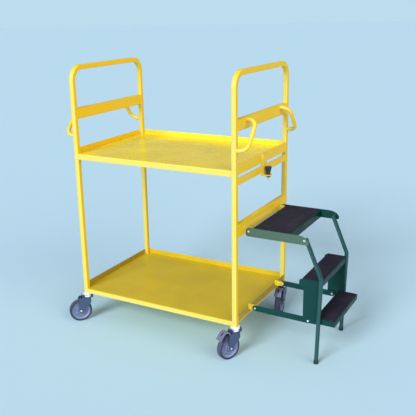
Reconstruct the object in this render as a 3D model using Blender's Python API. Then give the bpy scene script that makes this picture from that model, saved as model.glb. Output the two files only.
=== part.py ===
"""Two-shelf order-picking trolley with a fold-up step set on its right-hand end.

Metres, +Z up. Lengths along the trolley run in X, its width runs in Y and the floor is at Z = 0.
Positions are written from the floor under the frame's left front corner. One empty moves all of
that so that the model's origin lies under the middle of the whole object.
"""

import math

import bmesh
import bpy
from mathutils import Matrix, Vector

# Clearance between pieces that touch, and the wall of clearance round a pin.
GAP = 0.0003
PIN_CLEARANCE = 0.0003

# Whole frame.
LENGTH = 0.950
WIDTH = 0.640
HEIGHT = 1.415
LEG = 0.025
LEG_WALL = 0.002
LEG_CORNER = 0.003
LEG_BOTTOM = 0.164
TOP_BEND_RADIUS = 0.068
MIDDLE = WIDTH / 2
ORIGIN_X = 0.6645
ORIGIN_Y = 0.2814

# Shelves: sheet trays with three raised edges and one folded-down front edge.
SHEET = 0.002
SHELF_LIP = 0.0275
LOWER_FASCIA = 0.0265
UPPER_FASCIA = 0.0295
LOWER_DECK = 0.191
UPPER_DECK = 0.9585
LOWER_END_SKIRT = 0.004
UPPER_END_SKIRT = 0.0225
CROSS_WEB_TOP = 0.1855

# Rails between the legs.
UPPER_RAIL_BOTTOM = 1.140
UPPER_RAIL_TOP = 1.196
PLATFORM_RAIL_BOTTOM = 0.624
PLATFORM_RAIL_TOP = 0.691
RAIL_WALL = 0.0025
LATCH_RAIL_BOTTOM = 0.885
LATCH_RAIL_TOP = 0.920
LATCH_RAIL_THICKNESS = 0.006

# D-handles: bent rod from the upper rail to the leg.
HANDLE_ROD = 0.0105
HANDLE_DEPTH = 0.051
HANDLE_BEND = 0.042
HANDLE_INSET = 0.119
HANDLE_TOP = 1.184
HANDLE_BOTTOM = 1.054

# Four-bar linkage of the steps, as (x, z).
PIVOT_PLATFORM = (0.971, 0.640)
PIVOT_LOWER = (0.988, 0.217)
LINK_LENGTH = 0.286
LINK_DROP = 0.004
PIVOT_TUBE = (PIVOT_PLATFORM[0] + LINK_LENGTH, PIVOT_PLATFORM[1] - LINK_DROP)
PIVOT_STEP = (PIVOT_LOWER[0] + LINK_LENGTH, PIVOT_LOWER[1] - LINK_DROP)

# Distances of the step parts from the middle plane.
PLATFORM_HALF = 0.225
PLATFORM_SHEET = 0.003
STEP_TUBE_OFFSET = 0.1992
STEP_TUBE_RADIUS = 0.0105
STEP_TUBE_WALL = 0.0015
STEP_SIDE_OUTER = 0.1882
STEP_SIDE_INNER = 0.1852
LINK_OUTER = 0.182
LINK_INNER = 0.177
UPPER_LUG_OUTER = 0.221
UPPER_LUG_INNER = 0.211
LOWER_LUG_OUTER = 0.1766
LOWER_LUG_INNER = 0.166

# Platform.
PLATFORM_LEFT = 0.957
PLATFORM_RIGHT = 1.281
PLATFORM_BOTTOM = 0.615
PLATFORM_TOP = 0.659
TREAD_LEFT = 0.991
TREAD_RIGHT = 1.183
TREAD_TOP = 0.6575
PLATFORM_NOSE_LENGTH = 0.059
PLATFORM_NOSE_CORNER = 0.010
LATCH_HOLE = (0.305, 0.6482)
LATCH_HOLE_RADIUS = 0.006
MAT = 0.0025

# Step frame.
TUBE_BEND = (1.337, 0.447)
TUBE_FOOT_X = 1.3255
TUBE_OVERHANG = 0.006
TUBE_BOTTOM = 0.007
TUBE_BEND_RADIUS = 0.035
FOOT_HEIGHT = 0.020
FOOT_WALL = 0.0015
STEP_SHEET = 0.0025
MID_TREAD_LEFT = 1.239
MID_TREAD_RIGHT = 1.3385
MID_TREAD_TOP = 0.4315
MID_LIP = 0.030
LOW_TREAD_LEFT = 1.306
LOW_TREAD_RIGHT = 1.408
LOW_TREAD_TOP = 0.2335
LOW_LIP = 0.028
SIDE_LEFT = 1.246
EAR_LEFT = 1.223
SIDE_BOTTOM = 0.203

# Index plunger that holds the folded steps.
LATCH_X = 0.9813
LATCH_Y = 0.305
LEDGE_TOP = 0.880
LEDGE_THICKNESS = 0.005
BARREL_RADIUS = 0.008
COLLAR_RADIUS = 0.0102
PLUNGER_RADIUS = 0.004
PLUNGER_TIP = 0.854
KNOB_BOTTOM = 0.893
KNOB_TOP = 0.922

# Pivot bolts.
BOLT_RADIUS = 0.004
BOLT_HEAD_RADIUS = 0.007
BOLT_HEAD_HEIGHT = 0.0045
BOLT_SIDES = 12

# Casters: swivel axis at the leg, wheel behind it.
WHEEL_RADIUS = 0.0625
CASTER_TRAIL = 0.045
TYRE_INNER = 0.0557
AXLE_RADIUS = 0.005
CHEEK_INNER = 0.020
CHEEK_THICKNESS = 0.003
CROWN_TOP = 0.1397
CROWN_FLANGE_TOP = 0.1565
CASTER_ANGLES = {
    "left_front": math.radians(229),
    "right_front": math.radians(246),
    "right_rear": math.radians(277.5),
    "left_rear": math.radians(215),
}
PEDAL_PIVOT = (0.040, 0.1315)
PEDAL_PIN_RADIUS = 0.003


def clear_scene():
    for item in list(bpy.data.objects):
        bpy.data.objects.remove(item, do_unlink=True)


def paint(name, colour, roughness, metallic=0.0):
    """A Principled material."""
    finish = bpy.data.materials.new(name)
    finish.use_nodes = True
    shader = finish.node_tree.nodes["Principled BSDF"]
    shader.inputs["Base Color"].default_value = (*colour, 1.0)
    shader.inputs["Roughness"].default_value = roughness
    shader.inputs["Metallic"].default_value = metallic
    finish.diffuse_color = (*colour, 1.0)
    return finish


def empty(name, location, parent=None, turn=0.0):
    marker = bpy.data.objects.new(name, None)
    bpy.context.scene.collection.objects.link(marker)
    marker.location = location
    marker.rotation_euler = (0.0, 0.0, turn)
    marker.parent = parent
    return marker


def solid(name, mesh_data):
    """A new object from a bmesh, with its faces pointing out."""
    bmesh.ops.recalc_face_normals(mesh_data, faces=mesh_data.faces)
    if mesh_data.calc_volume(signed=True) < 0:
        bmesh.ops.reverse_faces(mesh_data, faces=mesh_data.faces)
    mesh = bpy.data.meshes.new(name)
    mesh_data.to_mesh(mesh)
    mesh_data.free()
    item = bpy.data.objects.new(name, mesh)
    bpy.context.scene.collection.objects.link(item)
    return item


def loft(name, rings, wrap=False):
    """A closed surface through rings of equal length: capped at both ends, or wrapped into a loop."""
    mesh_data = bmesh.new()
    rows = [[mesh_data.verts.new(point) for point in ring] for ring in rings]
    count = len(rows[0])
    pairs = list(zip(rows, rows[1:]))
    if wrap:
        pairs.append((rows[-1], rows[0]))
    for low, high in pairs:
        for i in range(count):
            j = (i + 1) % count
            mesh_data.faces.new((low[i], low[j], high[j], high[i]))
    if not wrap:
        mesh_data.faces.new(rows[0])
        mesh_data.faces.new(rows[-1])
    return solid(name, mesh_data)


def box(name, low, high):
    mesh_data = bmesh.new()
    bmesh.ops.create_cube(mesh_data, size=1.0)
    size = Vector(high) - Vector(low)
    centre = (Vector(high) + Vector(low)) / 2
    bmesh.ops.scale(mesh_data, vec=size, verts=mesh_data.verts)
    bmesh.ops.translate(mesh_data, vec=centre, verts=mesh_data.verts)
    return solid(name, mesh_data)


def plate(name, outline, near, far):
    """An (x, z) outline extruded along Y from near to far."""
    mesh_data = bmesh.new()
    face = mesh_data.faces.new([mesh_data.verts.new((x, near, z)) for x, z in outline])
    grown = bmesh.ops.extrude_face_region(mesh_data, geom=[face])
    moved = [item for item in grown["geom"] if isinstance(item, bmesh.types.BMVert)]
    bmesh.ops.translate(mesh_data, vec=(0.0, far - near, 0.0), verts=moved)
    return solid(name, mesh_data)


def flat_plate(name, outline, low, high):
    """An (x, y) outline extruded along Z from low to high."""
    mesh_data = bmesh.new()
    face = mesh_data.faces.new([mesh_data.verts.new((x, y, low)) for x, y in outline])
    grown = bmesh.ops.extrude_face_region(mesh_data, geom=[face])
    moved = [item for item in grown["geom"] if isinstance(item, bmesh.types.BMVert)]
    bmesh.ops.translate(mesh_data, vec=(0.0, 0.0, high - low), verts=moved)
    return solid(name, mesh_data)


def turned(name, profile, centre, axis, sides, wrap=False):
    """A (radius, height) profile turned about an axis through centre: 'Y' or 'Z'."""
    rings = []
    for radius, height in profile:
        ring = []
        for i in range(sides):
            angle = 2 * math.pi * i / sides - math.pi / 2
            a = radius * math.cos(angle)
            b = radius * math.sin(angle)
            offset = (a, height, b) if axis == "Y" else (a, b, height)
            ring.append(Vector(centre) + Vector(offset))
        rings.append(ring)
    return loft(name, rings, wrap)


def arc(centre, radius, start, end, steps):
    """Points on an arc, with its angles in degrees."""
    points = []
    for i in range(steps + 1):
        angle = math.radians(start + (end - start) * i / steps)
        points.append((centre[0] + radius * math.cos(angle), centre[1] + radius * math.sin(angle)))
    return points


def rounded(corners, radii, steps=4):
    """A polygon whose corners are rounded with the given radii."""
    points = []
    count = len(corners)
    for i, corner in enumerate(corners):
        here = Vector(corner)
        back = (Vector(corners[i - 1]) - here).normalized()
        ahead = (Vector(corners[(i + 1) % count]) - here).normalized()
        if radii[i] == 0:
            points.append(tuple(here))
            continue
        half = back.angle(ahead) / 2
        reach = radii[i] / math.tan(half)
        centre = here + (back + ahead).normalized() * radii[i] / math.sin(half)
        start = here + back * reach - centre
        end = here + ahead * reach - centre
        turn = start.angle_signed(end)
        for k in range(steps + 1):
            share = turn * k / steps
            cosine = math.cos(share)
            sine = math.sin(share)
            spun = Vector((start.x * cosine + start.y * sine, start.y * cosine - start.x * sine))
            points.append(tuple(centre + spun))
    return points


def filleted(corners, radius, steps):
    """A 3-D polyline with each inner corner replaced by an arc."""
    points = [Vector(corners[0])]
    for before, here, after in zip(corners, corners[1:], corners[2:]):
        here = Vector(here)
        back = (Vector(before) - here).normalized()
        ahead = (Vector(after) - here).normalized()
        half = back.angle(ahead) / 2
        centre = here + (back + ahead).normalized() * radius / math.sin(half)
        start = here + back * radius / math.tan(half) - centre
        end = here + ahead * radius / math.tan(half) - centre
        swing = start.angle(end)
        for k in range(steps + 1):
            share = k / steps
            first = math.sin((1 - share) * swing) / math.sin(swing)
            second = math.sin(share * swing) / math.sin(swing)
            points.append(centre + start * first + end * second)
    points.append(Vector(corners[-1]))
    return points


def sections(path, plane_normal, outline):
    """The outline placed square to a flat path at each of its points, mitred at the bends."""
    side = Vector(plane_normal).normalized()
    rings = []
    for i, point in enumerate(path):
        before = (point - path[i - 1]).normalized() if i else None
        after = (path[i + 1] - point).normalized() if i + 1 < len(path) else None
        tangent = ((before or after) + (after or before)).normalized()
        stretch = 1.0 / tangent.dot(after or before)
        up = side.cross(tangent) * stretch
        rings.append([point + side * a + up * b for a, b in outline])
    return rings


def circle(radius, count):
    return [
        (radius * math.cos(2 * math.pi * i / count), radius * math.sin(2 * math.pi * i / count))
        for i in range(count)
    ]


def square(side, corner, steps=1):
    half = side / 2
    corners = [(half, half), (-half, half), (-half, -half), (half, -half)]
    return rounded(corners, [corner] * 4, steps)


def rod(name, path, plane_normal, radius, count):
    return loft(name, sections(path, plane_normal, circle(radius, count)))


def tube(name, path, plane_normal, outer, inner):
    """A hollow tube with both ends open, as one closed body."""
    outside = sections(path, plane_normal, outer)
    inside = sections(path, plane_normal, inner)
    return loft(name, outside + inside[::-1], wrap=True)


def combine(target, others, operation):
    """Joins or cuts the others into the target and keeps the result as its mesh."""
    for other in others:
        step = target.modifiers.new(operation.lower(), "BOOLEAN")
        step.operation = operation
        step.solver = "EXACT"
        step.object = other
    bpy.context.view_layer.update()
    graph = bpy.context.evaluated_depsgraph_get()
    mesh = bpy.data.meshes.new_from_object(target.evaluated_get(graph))
    target.modifiers.clear()
    target.data = mesh
    for other in others:
        bpy.data.objects.remove(other, do_unlink=True)
    return target


def join(target, *others):
    return combine(target, others, "UNION")


def cut(target, *others):
    return combine(target, others, "DIFFERENCE")


def drill(radius, x, z, near, far):
    """A round cutter along Y that clears a pin of this radius."""
    reach = (radius + PIN_CLEARANCE) / math.cos(math.pi / BOLT_SIDES)
    return turned("drill", [(reach, near), (reach, far)], (x, 0.0, z), "Y", BOLT_SIDES)


def finish(item, material, parent, origin=(0.0, 0.0, 0.0), smooth_degrees=32):
    """Gives the object its material, its parent and its own origin, and smooths its round faces."""
    item.data.transform(Matrix.Translation(-Vector(origin)))
    item.location = origin
    item.parent = parent
    item.data.materials.clear()
    item.data.materials.append(material)
    item.data.shade_smooth()
    item.data.set_sharp_from_angle(angle=math.radians(smooth_degrees))
    return item


def both_sides(inner, outer):
    """The (side name, near Y, far Y) of a piece between two distances from the middle plane."""
    return (
        ("front", MIDDLE - outer, MIDDLE - inner),
        ("rear", MIDDLE + inner, MIDDLE + outer),
    )


# ---------------------------------------------------------------- frame


def end_frame(name, x_left, material, parent):
    """An inverted-U square tube with an angle between its legs that carries the lower shelf."""
    middle = x_left + LEG / 2
    half = LEG / 2
    corners = [
        (middle, half, LEG_BOTTOM),
        (middle, half, HEIGHT - half),
        (middle, WIDTH - half, HEIGHT - half),
        (middle, WIDTH - half, LEG_BOTTOM),
    ]
    path = filleted(corners, TOP_BEND_RADIUS, 6)
    outer = square(LEG, LEG_CORNER)
    inner = square(LEG - 2 * LEG_WALL, LEG_CORNER / 3)
    frame = tube(name, path, (1, 0, 0), outer, inner)
    overlap = LEG_WALL / 2
    low = LEG - overlap
    high = WIDTH - LEG + overlap
    top = CROSS_WEB_TOP + 0.0005
    web = box("web", (middle - 0.0012, low, LEG_BOTTOM + 0.001), (middle + 0.0012, high, CROSS_WEB_TOP))
    ledge = box("ledge", (middle - 0.010, low, top - 0.0025), (middle + 0.010, high, top))
    return finish(join(frame, web, ledge), material, parent)


def flat_rail(name, x_left, low, high):
    """A rectangular tube between the two legs of an end frame, as deep as they are."""
    centre_x = x_left + LEG / 2
    centre_z = (low + high) / 2
    start = LEG + GAP
    rings = []
    for inset, ends in ((0.0, (start, WIDTH - start)), (RAIL_WALL, (WIDTH - start, start))):
        half_x = LEG / 2 - inset
        half_z = (high - low) / 2 - inset
        corners = [(half_x, half_z), (-half_x, half_z), (-half_x, -half_z), (half_x, -half_z)]
        outline = rounded(corners, [max(LEG_CORNER - inset, 0.0005)] * 4, 1)
        for y in ends:
            rings.append([(centre_x + a, y, centre_z + b) for a, b in outline])
    return loft(name, rings, wrap=True)


def make_rails(material, parent):
    for name, x_left in (("left_upper_rail", 0.0), ("right_upper_rail", LENGTH - LEG)):
        finish(flat_rail(name, x_left, UPPER_RAIL_BOTTOM, UPPER_RAIL_TOP), material, parent)
    low = (LENGTH - LATCH_RAIL_THICKNESS, LEG + GAP, LATCH_RAIL_BOTTOM)
    high = (LENGTH, WIDTH - LEG - GAP, LATCH_RAIL_TOP)
    finish(box("latch_rail", low, high), material, parent)


def lug_outline(pivot, x_root, root_half, nose_radius):
    """A lug that tapers from a face at x_root to a round end about its pivot."""
    x, z = pivot
    nose = arc((x, z), nose_radius, -75, 75, 6)
    return [(x_root, z - root_half)] + nose + [(x_root, z + root_half)]


def make_platform_rail(material, parent):
    """The rail that carries the platform, with its two lugs welded on."""
    rail = flat_rail("platform_rail", LENGTH - LEG, PLATFORM_RAIL_BOTTOM, PLATFORM_RAIL_TOP)
    outline = lug_outline(PIVOT_PLATFORM, LENGTH - RAIL_WALL / 2, 0.0155, 0.0145)
    x, z = PIVOT_PLATFORM
    lugs = []
    for _, near, far in both_sides(UPPER_LUG_INNER, UPPER_LUG_OUTER):
        lug = plate("lug", outline, near, far)
        lugs.append(cut(lug, drill(BOLT_RADIUS, x, z, near - 0.01, far + 0.01)))
    finish(join(rail, *lugs), material, parent)


def make_lower_lugs(material, parent):
    outline = lug_outline(PIVOT_LOWER, LENGTH + GAP, 0.0150, 0.0115)
    x, z = PIVOT_LOWER
    for side, near, far in both_sides(LOWER_LUG_INNER, LOWER_LUG_OUTER):
        lug = plate(f"lower_{side}_lug", outline, near, far)
        cut(lug, drill(BOLT_RADIUS, x, z, near - 0.01, far + 0.01))
        finish(lug, material, parent)


def make_shelf(name, deck, fascia, skirt, material, parent):
    """A tray: its deck fits round the legs, its front edge turns down and its other edges turn up."""
    half_sheet = SHEET / 2
    clear = LEG + GAP
    bottom = deck - SHEET
    tray = box(name, (half_sheet, half_sheet, bottom), (LENGTH - half_sheet, WIDTH - half_sheet, deck))
    corner_cutters = []
    for x in (0.0, LENGTH):
        for y in (0.0, WIDTH):
            low = (x - clear, y - clear, bottom - 0.01)
            high = (x + clear, y + clear, deck + 0.01)
            corner_cutters.append(box("notch", low, high))
    cut(tray, *corner_cutters)
    hem = 0.0004
    front = box("front", (clear, 0.0, deck - fascia), (LENGTH - clear, SHEET, deck + hem))
    rear = box("rear", (clear, WIDTH - SHEET, bottom - hem), (LENGTH - clear, WIDTH, deck + SHELF_LIP))
    ends = [
        box("end", (x, clear, bottom - skirt), (x + SHEET, WIDTH - clear, deck + SHELF_LIP))
        for x in (0.0, LENGTH - SHEET)
    ]
    finish(join(tray, front, rear, *ends), material, parent)


def make_handle(name, x_face, outward, rear, material, parent):
    """A D-handle from the upper rail's outer face to the leg's outer face."""

    def at(inset, z, depth):
        y = WIDTH - inset if rear else inset
        return (x_face + outward * depth, y, z)

    corners = [
        at(HANDLE_INSET, HANDLE_TOP, GAP),
        at(HANDLE_INSET, HANDLE_TOP, HANDLE_DEPTH),
        at(LEG / 2, HANDLE_BOTTOM, HANDLE_DEPTH),
        at(LEG / 2, HANDLE_BOTTOM, GAP),
    ]
    chord = Vector(corners[2]) - Vector(corners[1])
    normal = chord.cross(Vector((1, 0, 0)))
    path = filleted(corners, HANDLE_BEND, 5)
    finish(rod(name, path, normal, HANDLE_ROD, 12), material, parent)


# ---------------------------------------------------------------- latch


def make_latch(yellow, steel, black, parent):
    """The bracket with its ledge, the plunger's barrel, and the plunger with its knob."""
    face = LENGTH + GAP
    post = box("latch_bracket", (face, 0.283, 0.8765), (face + 0.012, 0.330, 0.984))
    ledge_left = LATCH_Y - 0.0215
    ledge_right = LATCH_Y + 0.030
    outline = [(face, ledge_left), (LATCH_X - 0.004, ledge_left)]
    outline += arc((LATCH_X, LATCH_Y), 0.019, -90, 90, 10)
    outline += [(LATCH_X - 0.004, ledge_right), (face, ledge_right)]
    ledge = flat_plate("ledge", outline, LEDGE_TOP - LEDGE_THICKNESS, LEDGE_TOP)
    bracket = join(post, ledge)
    hole = turned(
        "hole",
        [(BARREL_RADIUS + 2 * GAP, LEDGE_TOP - 0.02), (BARREL_RADIUS + 2 * GAP, LEDGE_TOP + 0.02)],
        (LATCH_X, LATCH_Y, 0.0),
        "Z",
        16,
    )
    finish(cut(bracket, hole), yellow, parent)

    bore = PLUNGER_RADIUS + PIN_CLEARANCE
    barrel_profile = [
        (bore, LEDGE_TOP + 0.0105),
        (COLLAR_RADIUS - 0.001, LEDGE_TOP + 0.0105),
        (COLLAR_RADIUS, LEDGE_TOP + 0.0095),
        (COLLAR_RADIUS, LEDGE_TOP + GAP),
        (BARREL_RADIUS, LEDGE_TOP + GAP),
        (BARREL_RADIUS, LEDGE_TOP - LEDGE_THICKNESS - GAP),
        (0.0125, LEDGE_TOP - LEDGE_THICKNESS - GAP),
        (0.0125, LEDGE_TOP - 0.0090),
        (0.0100, LEDGE_TOP - 0.0125),
        (0.0065, LEDGE_TOP - 0.0145),
        (bore, LEDGE_TOP - 0.0145),
    ]
    axis = (LATCH_X, LATCH_Y, 0.0)
    finish(turned("latch_barrel", barrel_profile, axis, "Z", 16, wrap=True), black, parent)

    pin_profile = [
        (0.0028, PLUNGER_TIP),
        (PLUNGER_RADIUS, PLUNGER_TIP + 0.002),
        (PLUNGER_RADIUS, KNOB_TOP - 0.006),
    ]
    origin = (LATCH_X, LATCH_Y, PLUNGER_TIP)
    finish(turned("latch_pin", pin_profile, axis, "Z", 12), steel, parent, origin)

    # The knob is hollow below, so that it slides down over the barrel.
    inner = PLUNGER_RADIUS + GAP
    mouth = COLLAR_RADIUS + 0.0008
    knob_profile = [
        (inner, KNOB_TOP - 0.006 + GAP),
        (inner, KNOB_BOTTOM + 0.013),
        (mouth, KNOB_BOTTOM + 0.013),
        (mouth, KNOB_BOTTOM),
        (0.0122, KNOB_BOTTOM),
        (0.0128, KNOB_BOTTOM + 0.002),
        (0.0148, KNOB_BOTTOM + 0.015),
        (0.0165, KNOB_BOTTOM + 0.021),
        (0.0158, KNOB_TOP - 0.003),
        (0.0115, KNOB_TOP),
    ]
    finish(turned("latch_knob", knob_profile, axis, "Z", 16), black, parent, origin)


# ---------------------------------------------------------------- platform


def platform_side_outline():
    """A side plate with small round corners and a long, drooping nose."""
    corner = PLATFORM_NOSE_CORNER
    centre = (PLATFORM_RIGHT - PLATFORM_NOSE_LENGTH, PLATFORM_BOTTOM + corner)
    rise = PLATFORM_TOP - centre[1]
    outline = arc((PLATFORM_LEFT + 0.008, PLATFORM_BOTTOM + 0.008), 0.008, 180, 270, 3)
    outline += arc((PLATFORM_RIGHT - corner, PLATFORM_BOTTOM + corner), corner, -90, 0, 3)
    for x, z in arc((0.0, 0.0), 1.0, 0, 90, 8)[1:]:
        outline.append((centre[0] + PLATFORM_NOSE_LENGTH * x, centre[1] + rise * z))
    outline += arc((PLATFORM_LEFT + 0.013, PLATFORM_TOP - 0.013), 0.013, 90, 180, 4)
    return outline


def make_platform(green, rubber, parent):
    """The top tread, its mat and the two side plates that carry the step tubes."""
    pivot = (PIVOT_PLATFORM[0], MIDDLE, PIVOT_PLATFORM[1])
    inside = PLATFORM_HALF - PLATFORM_SHEET - GAP
    near = MIDDLE - inside
    far = MIDDLE + inside
    profile = [
        (TREAD_LEFT, TREAD_TOP - PLATFORM_SHEET),
        (TREAD_RIGHT - PLATFORM_SHEET, TREAD_TOP - PLATFORM_SHEET),
        (TREAD_RIGHT - PLATFORM_SHEET, PLATFORM_BOTTOM + 0.001),
        (TREAD_RIGHT, PLATFORM_BOTTOM + 0.001),
        (TREAD_RIGHT, TREAD_TOP),
        (TREAD_LEFT, TREAD_TOP),
    ]
    radii = [0.0, 0.002, 0.0, 0.0, 0.005, 0.0]
    tread = plate("platform_tread", rounded(profile, radii), near, far)
    hole_y, hole_z = LATCH_HOLE
    hole = turned(
        "hole",
        [(LATCH_HOLE_RADIUS, -0.02), (LATCH_HOLE_RADIUS, 0.02)],
        (0.0, 0.0, 0.0),
        "Z",
        14,
    )
    hole.data.transform(Matrix.Rotation(math.pi / 2, 4, "Y"))
    hole.data.transform(Matrix.Translation((TREAD_RIGHT, hole_y, hole_z)))
    finish(cut(tread, hole), green, parent, pivot)

    margin = 0.002
    low = (TREAD_LEFT + margin, near + margin, TREAD_TOP + GAP)
    high = (TREAD_RIGHT - 3 * margin, far - margin, TREAD_TOP + GAP + MAT)
    finish(box("platform_mat", low, high), rubber, parent, pivot)

    outline = platform_side_outline()
    for side, y_low, y_high in both_sides(PLATFORM_HALF - PLATFORM_SHEET, PLATFORM_HALF):
        side_plate = plate(f"platform_{side}_side", outline, y_low, y_high)
        pivots = (PIVOT_PLATFORM, PIVOT_TUBE)
        holes = [drill(BOLT_RADIUS, x, z, y_low - 0.01, y_high + 0.01) for x, z in pivots]
        finish(cut(side_plate, *holes), green, parent, pivot)


# ---------------------------------------------------------------- step frame


def tube_x(z):
    """Where the lower run of a step tube stands at a height."""
    return TUBE_FOOT_X + (TUBE_BEND[0] - TUBE_FOOT_X) * z / TUBE_BEND[1]


def make_step_tubes(green, rubber, parent, pivot):
    """Two bent tubes that hang from the platform and stand on rubber feet."""
    top = Vector((PIVOT_TUBE[0], 0.0, PIVOT_TUBE[1]))
    bend = Vector((TUBE_BEND[0], 0.0, TUBE_BEND[1]))
    overhang = (top - bend).normalized() * TUBE_OVERHANG
    for side, centre in (("front", MIDDLE - STEP_TUBE_OFFSET), ("rear", MIDDLE + STEP_TUBE_OFFSET)):
        across = Vector((0.0, centre, 0.0))
        corners = [top + overhang + across, bend + across, (tube_x(TUBE_BOTTOM), centre, TUBE_BOTTOM)]
        path = filleted(corners, TUBE_BEND_RADIUS, 4)
        outer = circle(STEP_TUBE_RADIUS, 14)
        inner = circle(STEP_TUBE_RADIUS - STEP_TUBE_WALL, 14)
        leg = tube(f"step_{side}_tube", path, (0, 1, 0), outer, inner)
        reach = STEP_TUBE_RADIUS + 0.01
        cut(leg, drill(BOLT_RADIUS, PIVOT_TUBE[0], PIVOT_TUBE[1], centre - reach, centre + reach))
        finish(leg, green, parent, pivot)

        inner_radius = STEP_TUBE_RADIUS + GAP
        outer_radius = STEP_TUBE_RADIUS + FOOT_WALL
        floor = TUBE_BOTTOM - GAP
        cup = [
            (outer_radius - 0.001, 0.0),
            (outer_radius, 0.002),
            (outer_radius, FOOT_HEIGHT - 0.001),
            (outer_radius - 0.001, FOOT_HEIGHT),
            (inner_radius, FOOT_HEIGHT),
            (inner_radius, floor),
        ]
        rings = []
        for radius, z in cup:
            rings.append([(tube_x(z) + a, centre + b, z) for a, b in circle(radius, 14)])
        finish(loft(f"{side}_foot", rings), rubber, parent, pivot)


def make_step_sides(green, parent, pivot):
    """Side plates inside the tubes, with an ear behind the middle tread."""
    top = MID_TREAD_TOP - STEP_SHEET - GAP
    corners = [
        (SIDE_LEFT, SIDE_BOTTOM),
        (tube_x(SIDE_BOTTOM) + 0.001, SIDE_BOTTOM),
        (tube_x(top) + 0.001, top),
        (EAR_LEFT, top),
        (EAR_LEFT, 0.399),
        (SIDE_LEFT, 0.381),
    ]
    outline = rounded(corners, [0.010, 0.004, 0.001, 0.015, 0.004, 0.006])
    for side, y_low, y_high in both_sides(STEP_SIDE_INNER, STEP_SIDE_OUTER):
        wall = plate(f"step_{side}_side", outline, y_low, y_high)
        cut(wall, drill(BOLT_RADIUS, PIVOT_STEP[0], PIVOT_STEP[1], y_low - 0.01, y_high + 0.01))
        finish(wall, green, parent, pivot)


def make_treads(green, rubber, parent, pivot):
    """The middle and lower treads, folded from sheet, each with a mat."""
    near = MIDDLE - STEP_SIDE_OUTER
    far = MIDDLE + STEP_SIDE_OUTER
    lip_x = MID_TREAD_RIGHT - STEP_SHEET
    under = MID_TREAD_TOP - STEP_SHEET
    profile = [
        (MID_TREAD_LEFT, under),
        (lip_x, under),
        (lip_x, MID_TREAD_TOP - MID_LIP),
        (MID_TREAD_RIGHT, MID_TREAD_TOP - MID_LIP),
        (MID_TREAD_RIGHT, MID_TREAD_TOP),
        (MID_TREAD_LEFT, MID_TREAD_TOP),
    ]
    radii = [0.0, 0.001, 0.0, 0.0, 0.004, 0.0]
    side_clear = STEP_SIDE_OUTER - STEP_SIDE_INNER + GAP
    tread = plate("middle_tread", rounded(profile, radii), near, far)
    # The lip passes between the side plates, so it is notched at its two ends.
    notches = []
    for y in (near, far):
        low = (lip_x - 0.012, y - side_clear, MID_TREAD_TOP - MID_LIP - 0.01)
        high = (MID_TREAD_RIGHT + 0.01, y + side_clear, under - GAP)
        notches.append(box("notch", low, high))
    finish(cut(tread, *notches), green, parent, pivot)
    margin = 0.003
    low = (MID_TREAD_LEFT + 0.001, near + margin, MID_TREAD_TOP + GAP)
    high = (MID_TREAD_RIGHT - 0.006, far - margin, MID_TREAD_TOP + GAP + MAT)
    finish(box("middle_mat", low, high), rubber, parent, pivot)

    near = MIDDLE - STEP_SIDE_INNER + GAP
    far = MIDDLE + STEP_SIDE_INNER - GAP
    under = LOW_TREAD_TOP - STEP_SHEET
    lip_x = LOW_TREAD_RIGHT - STEP_SHEET
    bottom = LOW_TREAD_TOP - LOW_LIP
    outer = box("lower_tread", (LOW_TREAD_LEFT, near, bottom), (LOW_TREAD_RIGHT, far, LOW_TREAD_TOP))
    low = (LOW_TREAD_LEFT - 0.01, near + STEP_SHEET, bottom - 0.01)
    hollow = box("hollow", low, (lip_x, far - STEP_SHEET, under))
    finish(cut(outer, hollow), green, parent, pivot)
    low = (LOW_TREAD_LEFT + 0.002, near + margin, LOW_TREAD_TOP + GAP)
    high = (LOW_TREAD_RIGHT - 0.005, far - margin, LOW_TREAD_TOP + GAP + MAT)
    finish(box("lower_mat", low, high), rubber, parent, pivot)


def make_links(green, parent):
    """Flat bars between the lower lugs and the step frame."""
    pivot = (PIVOT_LOWER[0], MIDDLE, PIVOT_LOWER[1])
    half = 0.015
    x, z = PIVOT_LOWER
    end_x, end_z = PIVOT_STEP
    slope = math.degrees(math.atan2(end_z - z, end_x - x))
    nose = arc((end_x, end_z), half, slope - 90, slope + 90, 8)
    tail = arc((x, z), half, slope + 90, slope + 270, 8)
    for side, y_low, y_high in both_sides(LINK_INNER, LINK_OUTER):
        bar = plate(f"lower_{side}_link", nose + tail, y_low, y_high)
        pivots = (PIVOT_LOWER, PIVOT_STEP)
        holes = [drill(BOLT_RADIUS, px, pz, y_low - 0.01, y_high + 0.01) for px, pz in pivots]
        finish(cut(bar, *holes), green, parent, pivot)


# ---------------------------------------------------------------- bolts


def pivot_bolt(name, pivot, side, faces, look, collar=None, end_height=0.0045):
    """A pivot pin with a domed head and a riveted end; collar is a spacer between two distances."""
    head_face, end_face = faces
    head = head_face + GAP
    end = end_face - GAP
    end_radius = 0.004 + end_height / 2
    stations = [
        (0.0040, head + BOLT_HEAD_HEIGHT),
        (0.0062, head + BOLT_HEAD_HEIGHT - 0.001),
        (BOLT_HEAD_RADIUS, head + 0.001),
        (BOLT_HEAD_RADIUS, head),
        (BOLT_RADIUS, head),
    ]
    if collar:
        stations += [
            (BOLT_RADIUS, collar[0] - GAP),
            (BOLT_HEAD_RADIUS, collar[0] - GAP),
            (BOLT_HEAD_RADIUS, collar[1] + GAP),
            (BOLT_RADIUS, collar[1] + GAP),
        ]
    stations += [
        (BOLT_RADIUS, end),
        (end_radius, end),
        (end_radius, end - end_height / 2),
        (end_radius - 0.0015, end - end_height),
    ]
    sign = -1 if side == "front" else 1
    profile = [(radius, sign * distance) for radius, distance in stations]
    origin = (pivot[0], MIDDLE, pivot[1])
    item = turned(name, profile, origin, "Y", BOLT_SIDES)
    material, parent = look
    finish(item, material, parent, origin)


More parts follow.
